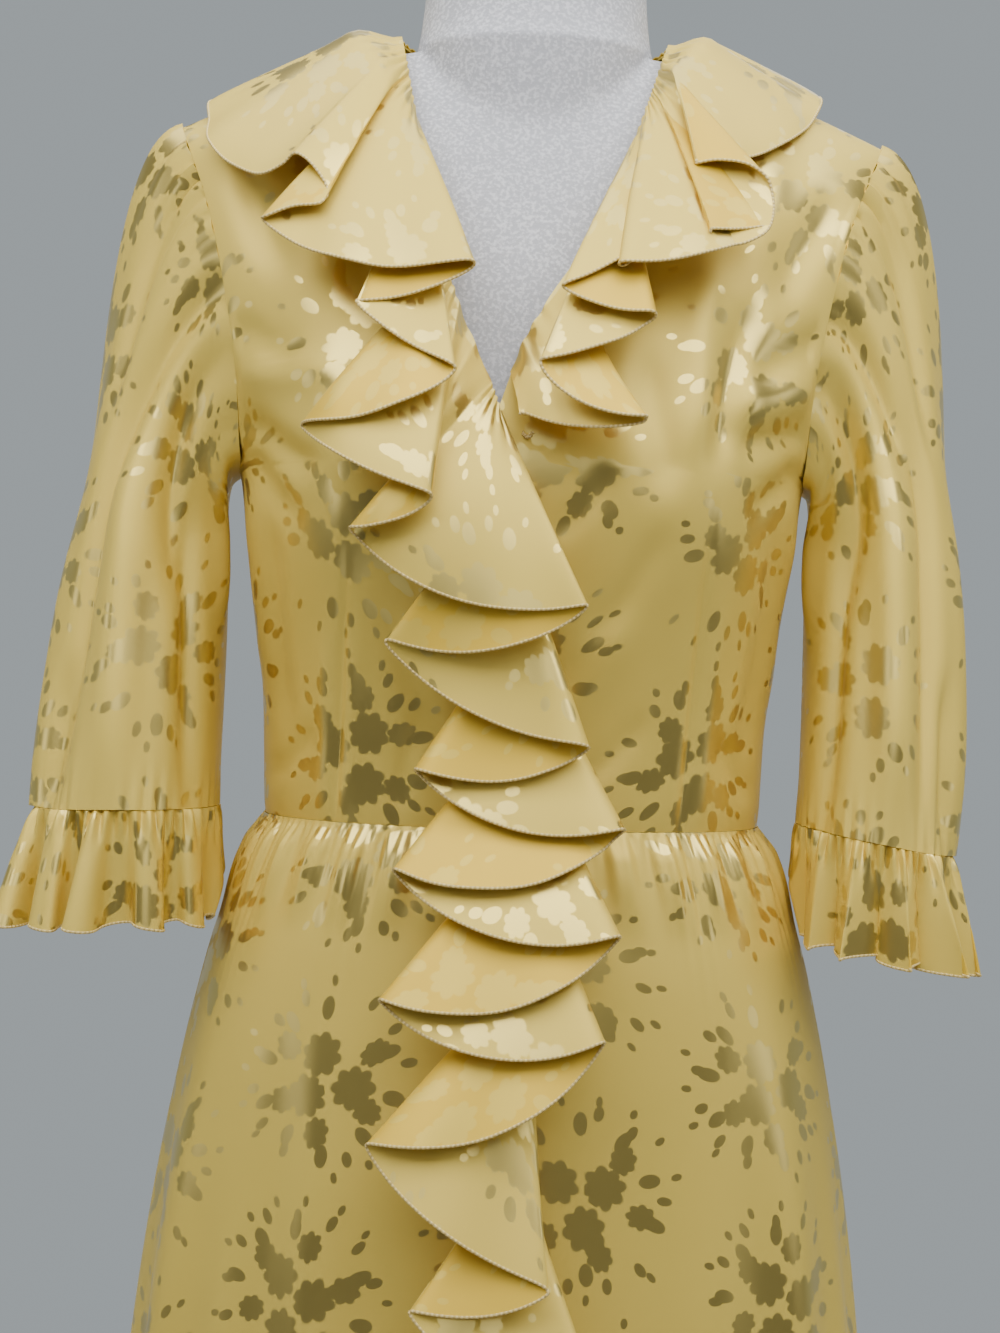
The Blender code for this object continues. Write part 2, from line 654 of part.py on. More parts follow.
def neck_edge(side, share):
    """A point of the neck edge, from the middle of the back over the shoulder to the crossing."""
    sign = -1 if side == "right" else 1
    if share < BACK_NECK_SHARE:
        x = sign * SIDE_NECK[0] * math.sin(share / BACK_NECK_SHARE * math.pi / 2)
        return np.array((x, seam_y(x, True), top_z(x, True)))
    front_share = (share - BACK_NECK_SHARE) / (1 - BACK_NECK_SHARE)
    z = SIDE_NECK[1] + (CROSSING_Z - SIDE_NECK[1]) * front_share
    x = along(OVER_EDGE if side == "right" else UNDER_EDGE, z)
    return np.array((x, front_y(x, min(z, SIDE_NECK[1] - STEP)), z))


def collar_columns(side):
    """The flounce from the middle of the back, over the shoulder and down the chest."""
    sign = -1 if side == "right" else 1
    keys = COLLAR_RIGHT if side == "right" else COLLAR_LEFT
    last = keys[-1][0]
    columns = []
    for k in range(len(keys) - 1):
        for i in range(COLLAR_STEPS):
            share = keys[k][0] + (keys[k + 1][0] - keys[k][0]) * i / COLLAR_STEPS
            seam = neck_edge(side, share)
            edge = np.array([along(keys, share, axis) for axis in (1, 2, 3)])
            edge[0] *= sign
            if share == 0:
                seam[0] += sign * HALF_SEAM
                edge[0] += sign * HALF_SEAM
            middle = outward_at((seam + edge) / 2)
            settled = ease((share - COLLAR_SETTLES) / (last - COLLAR_SETTLES))
            column = []
            for w in FLOUNCE_SHARES:
                stand = COLLAR_SEAM_STAND * (1 - w) + COLLAR_BULGE * ease(w / 0.24) * (1 - w) ** 0.8
                outward = outward_at(seam) * (1 - w) + middle * w
                flat = seam + (edge - seam) * w
                point = flat + outward * stand
                if settled > 0:
                    hung = flat.copy()
                    hung[1] = front_y(flat[0], flat[2]) - hanging_stand(seam[2] - flat[2])
                    point += (hung - point) * settled
                column.append(point)
            columns.append(column)
    return columns


def hanging_columns(side):
    """The flounce below, which hangs from a steep edge and doubles back at each corner."""
    keys = FOLDS_RIGHT if side == "right" else FOLDS_LEFT

    def seam_x(z):
        if z < WAIST_Z:
            return along(SKIRT_OVER_EDGE, z)
        return along(OVER_EDGE if side == "right" else UNDER_EDGE, z)

    turns = []
    for seam_z, x, z in keys:
        across, down = x - seam_x(seam_z), seam_z - z
        turns.append((seam_z, math.hypot(across, down), math.atan2(across, down)))
    slants = [crease_slant(turns, k, seam_x) for k in range(len(turns))]
    columns = []
    for k in range(len(turns) - 1):
        steps = FOLD_STEPS if k < len(turns) - 2 else FOLD_STEPS + (1.0,)
        for t in steps:
            turned = (1 - math.cos(math.pi * t)) / 2
            sewn = t + (turned - t) * SEAM_EASE
            seam_z = turns[k][0] + (turns[k + 1][0] - turns[k][0]) * sewn
            width = turns[k][1] + (turns[k + 1][1] - turns[k][1]) * turned
            lean = turns[k][2] + (turns[k + 1][2] - turns[k][2]) * turned
            after = t if t < 0.5 else t - 1
            slant = slants[k] if t < 0.5 else slants[k + 1]
            column = []
            for w in FLOUNCE_SHARES:
                x = seam_x(seam_z) + width * w * math.sin(lean)
                z = seam_z - width * w * math.cos(lean)
                stand = hanging_stand(seam_z - z)
                turn = after - max(min(slant / max(w, 0.1), 0.2), -0.2)
                roll = FLOUNCE_ROLL * (0.3 + 0.7 * w) * min(width / FULL_ROLL_WIDTH, 1.0)
                stand -= roll * math.sin(2 * math.pi * turn) * math.cos(math.pi * turn) ** 2
                column.append(np.array((x, front_y(x, z) - stand, z)))
            columns.append(column)
    return columns


def crease_slant(turns, k, seam_x):
    """How far a fold's crease runs ahead of its corner, because the seam moves on meanwhile."""
    before, after = turns[max(k - 1, 0)], turns[min(k + 1, len(turns) - 1)]
    spans = (k > 0) + (k < len(turns) - 1)
    across = (seam_x(after[0]) - seam_x(before[0])) / spans
    down = (after[0] - before[0]) / spans
    seam_z, width, lean = turns[k]
    sideways = (1 - SEAM_EASE) * (across * math.cos(lean) + down * math.sin(lean))
    swing = max(abs(before[2] - lean), abs(after[2] - lean))
    sense = 1 if (after[2] + before[2]) / 2 > lean else -1
    return -sense * sideways / (width * swing * math.pi ** 2 / 2)


def make_flounce(side, material):
    """One flounce in one piece, from the middle of the back neck down its front edge."""
    columns = collar_columns(side) + hanging_columns(side)
    return wall("flounce_" + side, columns, FLOUNCE_WALL, material)


def form_outline(z):
    """The torso's outline at a height: points right round it."""
    inset = FORM_INSET_HIP + (FORM_INSET - FORM_INSET_HIP) * ease((z - 1.0) / (WAIST_Z - 1.0))
    above = z + FORM_DROP
    if above >= SIDE_NECK[1] - FORM_SHOULDERS_END:
        return None
    slope = (SHOULDER_TIP[0] - SIDE_NECK[0]) / (SIDE_NECK[1] - SHOULDER_TIP[1])
    if z > UNDERARM_Z:
        ridge = SIDE_NECK[0] + (SIDE_NECK[1] - above) * slope - FORM_SHOULDER_INSET
        half = min(ridge, along(ARMHOLE_FRONT, above) - FORM_ARM_INSET)
    elif z > WAIST_Z:
        half = along(BODICE_SECTIONS, z) - inset
    else:
        half = along(SKIRT_SECTIONS, z) - inset
    points = []
    for k in range(FORM_SPOKES):
        turn = 2 * math.pi * k / FORM_SPOKES
        x = half * math.copysign(abs(math.cos(turn)) ** 0.8, math.cos(turn))
        back = math.sin(turn) > 0
        corner = (1 - min(abs(x) / half, 1.0) ** FORM_CORNER) ** (1 / FORM_CORNER)
        if z > WAIST_Z:
            near_neck = ease((FORM_BACK_DROP_FROM - abs(x)) / FORM_BACK_DROP_OVER)
            at = above + (FORM_BACK_DROP * near_neck if back and z > UNDERARM_Z else 0.0)
            surface = body_point(section_angle(x, at), level_of(at, x, back), back)[1]
        else:
            share = min(abs(x) / along(SKIRT_SECTIONS, z), 1.0)
            surface = skirt_base(math.asin(share ** (SECTION_POWER / 2)), z, back, False)[1]
        y = SHOULDER_SEAM_Y + (surface - SHOULDER_SEAM_Y) * corner
        y -= math.copysign(min(inset, abs(y - SHOULDER_SEAM_Y)), y - SHOULDER_SEAM_Y)
        points.append((x, y))
    return np.array(points)


def form_ring(z):
    """One ring of the dress form, the torso blended into the neck."""
    middle = np.array((0.0, SHOULDER_SEAM_Y))
    outline = form_outline(z)
    ring = []
    if outline is not None:
        spokes = outline - middle
        bearings = np.unwrap(np.arctan2(spokes[:, 1], spokes[:, 0]))
        lengths = np.hypot(spokes[:, 0], spokes[:, 1])
        order = np.argsort(bearings)
        bearings, lengths = bearings[order], lengths[order]
    for k in range(FORM_AROUND):
        turn = 2 * math.pi * k / FORM_AROUND
        across, deep = math.cos(turn), math.sin(turn)
        neck = 1 / math.hypot(across / NECK_HALF[0], deep / NECK_HALF[1])
        length = neck
        if outline is not None:
            torso = float(np.interp(turn, bearings, lengths, period=2 * math.pi))
            part = neck * ease((z - 1.36) / 0.07)
            length = (torso ** BLEND_POWER + part ** BLEND_POWER) ** (1 / BLEND_POWER)
        ring.append((length * across, SHOULDER_SEAM_Y + length * deep, z))
    return ring


def turned(name, rings, material):
    """A closed body through rings of points, with flat ends."""
    points = [point for ring in rings for point in ring]
    around = len(rings[0])
    faces = []
    for j in range(len(rings) - 1):
        for i in range(around):
            a, b = j * around + i, j * around + (i + 1) % around
            faces += [(a, b, b + around), (a, b + around, a + around)]
    for j, order in ((0, -1), (len(rings) - 1, 1)):
        ring = rings[j]
        points.append(tuple(np.mean(np.array(ring), 0)))
        hub = len(points) - 1
        for i in range(around):
            a, b = j * around + i, j * around + (i + 1) % around
            faces.append((a, b, hub) if order > 0 else (b, a, hub))
    return body(name, points, faces, material)


def round_ring(radius, z, around):
    """A ring of the stand."""
    turns = [2 * math.pi * k / around for k in range(around)]
    return [(radius * math.cos(t), radius * math.sin(t), z) for t in turns]


def make_form(covering, metal):
    """The limbless form, its pole with a flange under the form, and the round base."""
    turned("form_body", [form_ring(z) for z in FORM_LEVELS], covering)
    pole_top = FORM_BOTTOM_Z - SEAM_GAP
    flange_z = pole_top - FLANGE_THICK
    turned("form_pole", [round_ring(POLE_RADIUS, COLLAR_TOP_Z + SEAM_GAP, 20),
                         round_ring(POLE_RADIUS, flange_z - FLANGE_THICK / 3, 20),
                         round_ring(FLANGE_RADIUS, flange_z, 20),
                         round_ring(FLANGE_RADIUS, pole_top, 20)], metal)
    turned("form_base", [round_ring(BASE_RADIUS, 0.0, 40),
                         round_ring(BASE_RADIUS, BASE_THICK - BASE_EDGE, 40),
                         round_ring(BASE_RADIUS - BASE_EDGE, BASE_THICK, 40),
                         round_ring(COLLAR_RADIUS, BASE_THICK + BASE_EDGE / 2, 40),
                         round_ring(COLLAR_RADIUS - BASE_EDGE / 2, COLLAR_TOP_Z, 40)], metal)


def main():
    remove_everything()
    satin = colour("yellow satin jacquard", (0.75, 0.55, 0.21), 0.35)
    covering = colour("pale form covering", (0.55, 0.55, 0.60), 0.85)
    metal = colour("painted stand", (0.60, 0.60, 0.62), 0.45)
    make_bodice(satin)
    make_skirt(satin)
    for side in ("right", "left"):
        make_sleeve(side, satin)
        make_cuff(side, satin)
        make_flounce(side, satin)
    make_form(covering, metal)


main()
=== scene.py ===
# %% [markdown]
# # A wrap dress with flounces, on its dress form
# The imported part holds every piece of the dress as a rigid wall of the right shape. This
# lesson dresses it: each wall gets a fine sheet of cloth in its own place, cut and folded by
# the same rules, then the satin, the stitched edges, the light and the camera.

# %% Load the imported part
import math
import bpy
import numpy as np
from mathutils import Matrix, Vector


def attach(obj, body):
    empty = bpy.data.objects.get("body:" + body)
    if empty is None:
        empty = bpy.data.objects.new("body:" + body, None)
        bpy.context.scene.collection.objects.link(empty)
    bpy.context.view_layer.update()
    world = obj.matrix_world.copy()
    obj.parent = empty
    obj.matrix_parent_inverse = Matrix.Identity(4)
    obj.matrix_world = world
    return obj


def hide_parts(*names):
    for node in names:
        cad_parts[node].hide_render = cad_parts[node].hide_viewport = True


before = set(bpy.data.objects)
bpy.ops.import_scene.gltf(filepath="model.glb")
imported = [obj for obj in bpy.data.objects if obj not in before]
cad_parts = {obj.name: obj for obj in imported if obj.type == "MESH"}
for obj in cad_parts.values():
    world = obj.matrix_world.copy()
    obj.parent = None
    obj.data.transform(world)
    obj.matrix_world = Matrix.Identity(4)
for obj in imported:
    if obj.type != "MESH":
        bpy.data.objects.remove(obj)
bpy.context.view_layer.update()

print("pieces in the part:", len(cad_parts))

# %% [markdown]
# ## Sizes of the dress
# A dressmaker works from a few measures taken round the body at named heights. Here they are
# short tables: one row for each height, with the half width and the depth in front and behind.
# A smooth curve through the rows gives every height between them, so the cloth has no steps.

# %% Reading a table of measures
def along(table, at, column=1):
    """Reads a table at a height or an array of heights, on a smooth curve through its rows."""
    rows = sorted(table)
    keys = np.array([row[0] for row in rows])
    values = np.array([row[column] for row in rows])
    slopes = np.gradient(values, keys)
    at = np.clip(at, keys[0], keys[-1])
    i = np.clip(np.searchsorted(keys, at, side="right") - 1, 0, len(keys) - 2)
    span = keys[i + 1] - keys[i]
    t = (at - keys[i]) / span
    start = (2 * t ** 3 - 3 * t ** 2 + 1) * values[i] + (t ** 3 - 2 * t ** 2 + t) * span * slopes[i]
    end = (3 * t ** 2 - 2 * t ** 3) * values[i + 1] + (t ** 3 - t ** 2) * span * slopes[i + 1]
    return start + end


def ease(t):
    """Rises smoothly from 0 to 1."""
    t = np.clip(t, 0.0, 1.0)
    return t * t * (3 - 2 * t)


# %% Heights and edges
HEM_Z, WAIST_Z, UNDERARM_Z, CROSSING_Z = 0.350, 1.050, 1.236, 1.266
SHOULDER_TIP, SIDE_NECK = (0.196, 1.431), (0.074, 1.482)
BACK_NECK_Z, BACK_NECK_Y, SHOULDER_SEAM_Y = 1.466, 0.062, 0.010
SECTION_POWER, CLOSING_POWER, CLOSING_Z = 2.3, 2.4, 1.290
BUST = {"x": 0.084, "z": 1.222, "depth": 0.016, "spread": 0.052, "squash": 0.8}
OVERLAP_LIFT, LIFT_STARTS_X, LIFT_ENDS_X, LIFT_FADES_OVER = 0.0032, -0.118, -0.092, 0.05
CLOTH_THICKNESS, FLOUNCE_THICKNESS = 0.0009, 0.0008
SIDE = math.pi / 2
STEP = 1e-4        # between the two near points that a slope is measured from
SEAM_GAP = 2e-4    # what a piece keeps from its seam, so that no two pieces share a face

BODICE_SECTIONS = (
    (1.050, 0.1370, 0.104, 0.088), (1.093, 0.1385, 0.106, 0.092), (1.121, 0.1400, 0.109, 0.096),
    (1.149, 0.1425, 0.113, 0.100), (1.194, 0.1490, 0.119, 0.106), (1.236, 0.1560, 0.121, 0.110),
    (1.280, 0.1700, 0.117, 0.112), (1.330, 0.1860, 0.105, 0.108), (1.380, 0.1980, 0.090, 0.098),
    (1.431, 0.2060, 0.077, 0.084), (1.482, 0.2100, 0.066, 0.072))
ARMHOLE_FRONT = ((1.236, 0.1560), (1.246, 0.1535), (1.262, 0.1530), (1.290, 0.1550),
                 (1.330, 0.1620), (1.380, 0.1750), (1.431, 0.1960))
ARMHOLE_BACK = ((1.236, 0.1560), (1.246, 0.1540), (1.262, 0.1545), (1.290, 0.1590),
                (1.330, 0.1670), (1.380, 0.1800), (1.431, 0.1960))
OVER_EDGE = ((1.050, 0.0105), (1.110, 0.0080), (1.160, 0.0050), (1.210, -0.0020),
             (1.266, -0.0135), (1.323, -0.0370), (1.400, -0.0570), (1.482, -0.0740))
UNDER_EDGE = ((1.050, -0.0850), (1.130, -0.0600), (1.210, -0.0340), (1.266, -0.0135),
              (1.300, -0.0020), (1.347, 0.0240), (1.410, 0.0520), (1.482, 0.0740))
SKIRT_SECTIONS = (
    (1.050, 0.1370, 0.104, 0.088), (1.025, 0.1480, 0.110, 0.100), (0.990, 0.1610, 0.116, 0.114),
    (0.945, 0.1720, 0.122, 0.128), (0.890, 0.1810, 0.128, 0.138), (0.760, 0.1940, 0.140, 0.150),
    (0.550, 0.2120, 0.158, 0.168), (0.350, 0.2300, 0.174, 0.184))
SKIRT_OVER_EDGE = ((1.050, 0.0105), (0.950, 0.0130), (0.760, 0.0190), (0.350, 0.0320))
SKIRT_UNDER_EDGE = ((1.050, -0.0850), (0.760, -0.0860), (0.350, -0.0880))
print("shoulder width:", 2 * SHOULDER_TIP[0], "waist width:", 2 * BODICE_SECTIONS[0][1])

# %% [markdown]
# ## The surface that the bodice follows
# A bodice is flat cloth made round by seams and darts. Its cross-section is close to an
# ellipse, a little squarer, and it closes at the shoulder seam. One function gives a point of
# that surface from an angle round the body and a level from 0 at the waist to 2 at the
# shoulder. It takes whole arrays, so a fine sheet costs no more lines than a coarse one.

# %% The shoulder, the neck and the section
def top_z(x, back):
    """The height of a panel's upper edge."""
    reach = np.clip((np.abs(x) - SIDE_NECK[0]) / (SHOULDER_TIP[0] - SIDE_NECK[0]), 0.0, 1.2)
    shoulder = SIDE_NECK[1] + (SHOULDER_TIP[1] - SIDE_NECK[1]) * reach
    dip = (SIDE_NECK[1] - BACK_NECK_Z) * neck_share(x) if back else 0.0
    return shoulder - dip


def neck_share(x):
    """1 in the middle of the neck and 0 from the side-neck point outwards."""
    return np.maximum(0.0, 1 - (x / SIDE_NECK[0]) ** 2)


def seam_y(x, back):
    """The depth of a panel's upper edge."""
    return SHOULDER_SEAM_Y + ((BACK_NECK_Y - SHOULDER_SEAM_Y) * neck_share(x) if back else 0.0)


def section_angle(x, z, sections=BODICE_SECTIONS):
    """The angle round the body, from the front middle, at which a section is x wide."""
    share = np.minimum(np.abs(x) / along(sections, z), 1.0)
    return np.copysign(np.arcsin(share ** (SECTION_POWER / 2)), x)


def overlap_lift(x):
    """How far the overlapping front stands off the other one."""
    return OVERLAP_LIFT * ease((x - LIFT_STARTS_X) / (LIFT_ENDS_X - LIFT_STARTS_X))


# %% A point of the bodice
def bodice_point(angle, level, back=False, over=False):
    """Points of the bodice's middle surface, for arrays of angles and levels."""
    angle, level = np.broadcast_arrays(np.asarray(angle, float), np.asarray(level, float))
    power = 2 / SECTION_POWER
    swing = np.copysign(np.abs(np.sin(angle)) ** power, np.sin(angle))
    low_z = WAIST_Z + (UNDERARM_Z - WAIST_Z) * np.minimum(level, 1.0)
    z = low_z
    for _ in range(4):
        x = along(BODICE_SECTIONS, z) * swing
        z = np.where(level > 1, UNDERARM_Z + (top_z(x, back) - UNDERARM_Z) * (level - 1), low_z)
    depth = along(BODICE_SECTIONS, z, 3 if back else 2) * np.abs(np.cos(angle)) ** power
    if not back:
        away = np.hypot(np.abs(x) - BUST["x"], BUST["squash"] * (z - BUST["z"])) / BUST["spread"]
        depth = depth + BUST["depth"] * np.exp(-away ** 2) * np.abs(np.cos(angle)) ** 0.5
    side = 1 if back else -1
    y = side * depth
    rise = np.clip((z - CLOSING_Z) / (top_z(x, back) - CLOSING_Z), 0.0, 1.0)
    closing = (1 - rise ** CLOSING_POWER) ** (1 / CLOSING_POWER)
    drawn_in = seam_y(x, back) + (y - seam_y(x, back)) * closing
    y = np.where(z > CLOSING_Z, drawn_in, y) + side * SEAM_GAP
    if over:
        y = y - overlap_lift(x) * (1 - ease((z - CROSSING_Z) / LIFT_FADES_OVER))
    return np.stack((x, y, z), axis=-1)


def level_of(z, x, back=False):
    """The level of a height on the bodice."""
    low = (z - WAIST_Z) / (UNDERARM_Z - WAIST_Z)
    return np.where(z <= UNDERARM_Z, low, 1 + (z - UNDERARM_Z) / (top_z(x, back) - UNDERARM_Z))


def edge_angle(table, level, sign=1, back=False):
    """The angle at which an edge crosses a level, from a table of the edge's places."""
    level = np.asarray(level, float)
    low_z = WAIST_Z + (UNDERARM_Z - WAIST_Z) * np.minimum(level, 1.0)
    z = low_z
    for _ in range(12):
        x = sign * along(table, z)
        z = np.where(level > 1, UNDERARM_Z + (top_z(x, back) - UNDERARM_Z) * (level - 1), low_z)
    return section_angle(sign * along(table, z), z)


print("front middle at the waist:", np.round(bodice_point(0.0, 0.0), 3))

# %% [markdown]
# ## From a grid of points to a sheet of cloth
# Cloth can be a plane with a Solidify modifier. Here each sheet is made straight from a grid
# instead: one layer of faces for the right side, one for the wrong side and a narrow rim. The
# two sides can then take different looks, and a UV map measured in metres along the cloth
# keeps the woven motif at its real size on every piece.

# %% Cloth from a grid
SHARP_ANGLE = math.radians(50)
RING_RADIUS = 0.045    # inner radius of the rings that the flounces are cut as


def in_scene(name, data):
    """An object for a mesh, a light or a camera, linked to the scene."""
    thing = bpy.data.objects.new(name, data)
    bpy.context.collection.objects.link(thing)
    return thing


def grid_normals(points, closed=False):
    """The direction square to a grid of points at each of them."""
    if closed:
        across = np.roll(points, -1, 0) - np.roll(points, 1, 0)
    else:
        across = np.gradient(points, axis=0)
    normals = np.cross(across, np.gradient(points, axis=1))
    return normals / np.maximum(np.linalg.norm(normals, axis=2, keepdims=True), 1e-12)


def cloth_measure(points, closed):
    """How far along the cloth each point of a grid lies, across and down, in metres."""
    ring = np.concatenate((points, points[:1])) if closed else points
    middle = ring.shape[0] // 2
    steps = np.linalg.norm(np.diff(ring, axis=0), axis=2)
    across = np.concatenate((np.zeros((1, ring.shape[1])), np.cumsum(steps, axis=0)))
    across = across - across[middle]
    down = np.linalg.norm(np.diff(ring, axis=1), axis=2)
    down = np.concatenate((np.zeros((ring.shape[0], 1)), np.cumsum(down, axis=1)), axis=1)
    return across, down


def strip_measure(points, closed):
    """The same for a gathered strip: both edges are as long as the free one, which comes first."""
    across, down = cloth_measure(points, closed)
    return np.repeat(across[:, :1], across.shape[1], axis=1), down


def ring_measure(points, closed):
    """The same for a flounce cut as a ring: the cloth turns round a middle, a fold at a time."""
    down = np.linalg.norm(np.diff(points, axis=1), axis=2)
    down = np.concatenate((np.zeros((points.shape[0], 1)), np.cumsum(down, axis=1)), axis=1)
    edge = np.linalg.norm(np.diff(points[:, -1], axis=0), axis=1)
    half_way = (down[1:, -1] + down[:-1, -1]) / 2
    turn = np.concatenate(((0,), np.cumsum(edge / (RING_RADIUS + half_way))))
    reach = RING_RADIUS + down
    return reach * np.sin(turn)[:, None], reach * np.cos(turn)[:, None]


def cloth(name, points, thickness, right_side, wrong_side, closed=False, relief=None,
          offset=(0, 0), measure=None):
    """A thin sheet of cloth round a grid of points, with a measured UV map."""
    points = np.asarray(points, float)
    normals = grid_normals(points, closed)
    if relief is not None:
        points = points + normals * relief[..., None]
        normals = grid_normals(points, closed)
    across, rows = points.shape[:2]
    number = np.arange(across * rows).reshape(across, rows)
    if closed:
        number = np.concatenate((number, number[:1]))
    a, b = number[:-1, :-1].ravel(), number[1:, :-1].ravel()
    c, d = number[1:, 1:].ravel(), number[:-1, 1:].ravel()
    under = across * rows
    quads = np.concatenate((np.stack((a, b, c, d), 1), np.stack((d, c, b, a), 1) + under))
    u, v = (measure or cloth_measure)(points, closed)
    near, far = np.s_[:-1], np.s_[1:]
    corners = [np.stack((u[s, t].ravel(), v[s, t].ravel()), 1)
               for s, t in ((near, near), (far, near), (far, far), (near, far))]
    uv = np.concatenate((np.stack(corners, 1), np.stack(corners[::-1], 1)))
    rims = [(number[:-1, 0], number[1:, 0]), (number[1:, -1], number[:-1, -1])]
    if not closed:
        rims += [(number[0, 1:], number[0, :-1]), (number[-1, :-1], number[-1, 1:])]
    first, second = (np.concatenate([pair[k] for pair in rims]) for k in (0, 1))
    rim = np.stack((second, first, first + under, second + under), 1)
    vertices = np.concatenate((points + normals * thickness / 2, points - normals * thickness / 2))
    mesh = bpy.data.meshes.new(name)
    mesh.from_pydata(vertices.reshape(-1, 3).tolist(), [], np.concatenate((quads, rim)).tolist())
    flat_uv = np.stack((u[:across], v[:across]), -1).reshape(-1, 2)[rim % under]
    layer = mesh.uv_layers.new(name="cloth")
    layer.data.foreach_set("uv", (np.concatenate((uv, flat_uv)) + np.array(offset)).ravel())
    for material in (right_side, wrong_side):
        mesh.materials.append(material)
    sides = np.zeros(len(quads) + len(rim), int)
    sides[len(quads) // 2:len(quads)] = 1
    mesh.polygons.foreach_set("material_index", sides)
    mesh.shade_smooth()
    mesh.set_sharp_from_angle(angle=SHARP_ANGLE)
    return in_scene(name, mesh)


# %% A stitched edge from a path
EDGE_RADIUS, BAR_RADIUS = 0.0008, 0.00045


def stitched_edge(name, path, radius, material, closed=False, sides=6):
    """A narrow rolled edge: a small tube along a path, with its length in the UV map."""
    path = np.asarray(path, float)
    ahead, behind = np.roll(path, -1, 0), np.roll(path, 1, 0)
    if not closed:
        ahead[-1], behind[0] = path[-1], path[0]
    forward = ahead - behind
    forward /= np.maximum(np.linalg.norm(forward, axis=1, keepdims=True), 1e-9)
    side = np.cross(forward, np.array((0.02, -1.0, 0.03)))
    side /= np.linalg.norm(side, axis=1, keepdims=True)
    up = np.cross(side, forward)
    turns = 2 * np.pi * np.arange(sides) / sides
    ring = np.cos(turns)[None, :, None] * side[:, None] + np.sin(turns)[None, :, None] * up[:, None]
    vertices = (path[:, None] + radius * ring).reshape(-1, 3)
    length = np.concatenate(((0,), np.cumsum(np.linalg.norm(np.diff(path, axis=0), axis=1))))
    faces, uv = [], []
    count = len(path)
    for i in range(count if closed else count - 1):
        j, far = (i + 1) % count, length[i + 1] if i + 1 < count else length[-1] + 0.002
        for k in range(sides):
            m = (k + 1) % sides
            faces.append((i * sides + k, i * sides + m, j * sides + m, j * sides + k))
            uv += [(length[i], k / sides), (length[i], (k + 1) / sides),
                   (far, (k + 1) / sides), (far, k / sides)]
    if not closed:
        for start, order in ((0, -1), (count - 1, 1)):
            faces.append([start * sides + k for k in range(sides)][::order])
            uv += [(length[start], 0.0)] * sides
    mesh = bpy.data.meshes.new(name)
    mesh.from_pydata(vertices.tolist(), [], faces)
    mesh.uv_layers.new(name="cloth").data.foreach_set("uv", np.array(uv, float).ravel())
    mesh.materials.append(material)
    mesh.shade_smooth()
    return in_scene(name, mesh)


# %% [markdown]
# ## The satin
# The cloth is a satin jacquard: the motif is not printed but woven, with the threads turned to
# the other face. It has nearly the colour of the ground and another gloss, so it is darker than
# the ground where it reflects something dim and brighter where it catches the light. A
# picture could hold the motif, but rings of ovals worked out by nodes stay sharp at any
# distance: each tile of the repeat has a few big scalloped patches with ovals all round them.

# %% Small helpers for shader nodes
def new_material(name):
    """A material with its node tree and its shader."""
    material = bpy.data.materials.new(name)
    material.use_nodes = True
    tree = material.node_tree
    return material, tree, tree.nodes["Principled BSDF"]


def calc(tree, operation, *values):
    """A Math node; each value is a number or the output of another node."""
    node = tree.nodes.new("ShaderNodeMath")
    node.operation = operation
    for socket, value in zip(node.inputs, values):
        if isinstance(value, (int, float)):
            socket.default_value = value
        else:
            tree.links.new(value, socket)
    return node.outputs[0]


def blend_colour(tree, factor, first, second):
    """Mixes two colours by a factor."""
    node = tree.nodes.new("ShaderNodeMix")
    node.data_type = "RGBA"
    tree.links.new(factor, node.inputs["Factor"])
    for socket, value in ((node.inputs[6], first), (node.inputs[7], second)):
        if isinstance(value, tuple):
            socket.default_value = (*value, 1.0)
        else:
            tree.links.new(value, socket)
    return node.outputs[2]


def cloth_uv(tree):
    """The place on the cloth in metres."""
    uv = tree.nodes.new("ShaderNodeUVMap")
    uv.uv_map = "cloth"
    return uv.outputs[0]


def soft_noise(tree, scale, detail, place):
    """A noise node that reads a place."""
    node = tree.nodes.new("ShaderNodeTexNoise")
    node.inputs["Scale"].default_value = scale
    node.inputs["Detail"].default_value = detail
    tree.links.new(place, node.inputs["Vector"])
    return node


def chance_for(tree, first, second, dimensions):
    """Random numbers for a pair of values: the same pair always gives the same ones."""
    pair = tree.nodes.new("ShaderNodeCombineXYZ")
    tree.links.new(first, pair.inputs[0])
    tree.links.new(second, pair.inputs[1])
    node = tree.nodes.new("ShaderNodeTexWhiteNoise")
    node.noise_dimensions = dimensions
    tree.links.new(pair.outputs[0], node.inputs["Vector"])
    return node


def ramp(tree, value, start, end, low, high, shape="SMOOTHSTEP"):
    """Goes from low to high while a value goes from start to end."""
    node = tree.nodes.new("ShaderNodeMapRange")
    node.interpolation_type = shape
    tree.links.new(value, node.inputs["Value"])
    sockets = ("From Min", "From Max", "To Min", "To Max")
    for socket, number in zip(sockets, (start, end, low, high)):
        node.inputs[socket].default_value = number
    return node.outputs["Result"]


def fine_relief(tree, shader, height, depth, strength=1.0):
    """A bump from a height, so many metres deep."""
    bump = tree.nodes.new("ShaderNodeBump")
    bump.inputs["Strength"].default_value = strength
    bump.inputs["Distance"].default_value = depth
    tree.links.new(height, bump.inputs["Height"])
    tree.links.new(bump.outputs[0], shader.inputs["Normal"])


def cloth_place(tree, wander, wander_size):
    """The place on the cloth, nudged a little so that no outline is too even."""
    uv = cloth_uv(tree)
    noise = soft_noise(tree, 1 / wander_size, 1.0, uv)
    place, drift = (tree.nodes.new("ShaderNodeSeparateXYZ") for _ in range(2))
    tree.links.new(uv, place.inputs[0])
    tree.links.new(noise.outputs["Color"], drift.inputs[0])
    return [calc(tree, "MULTIPLY_ADD", drift.outputs[k], wander, place.outputs[k]) for k in (0, 1)]


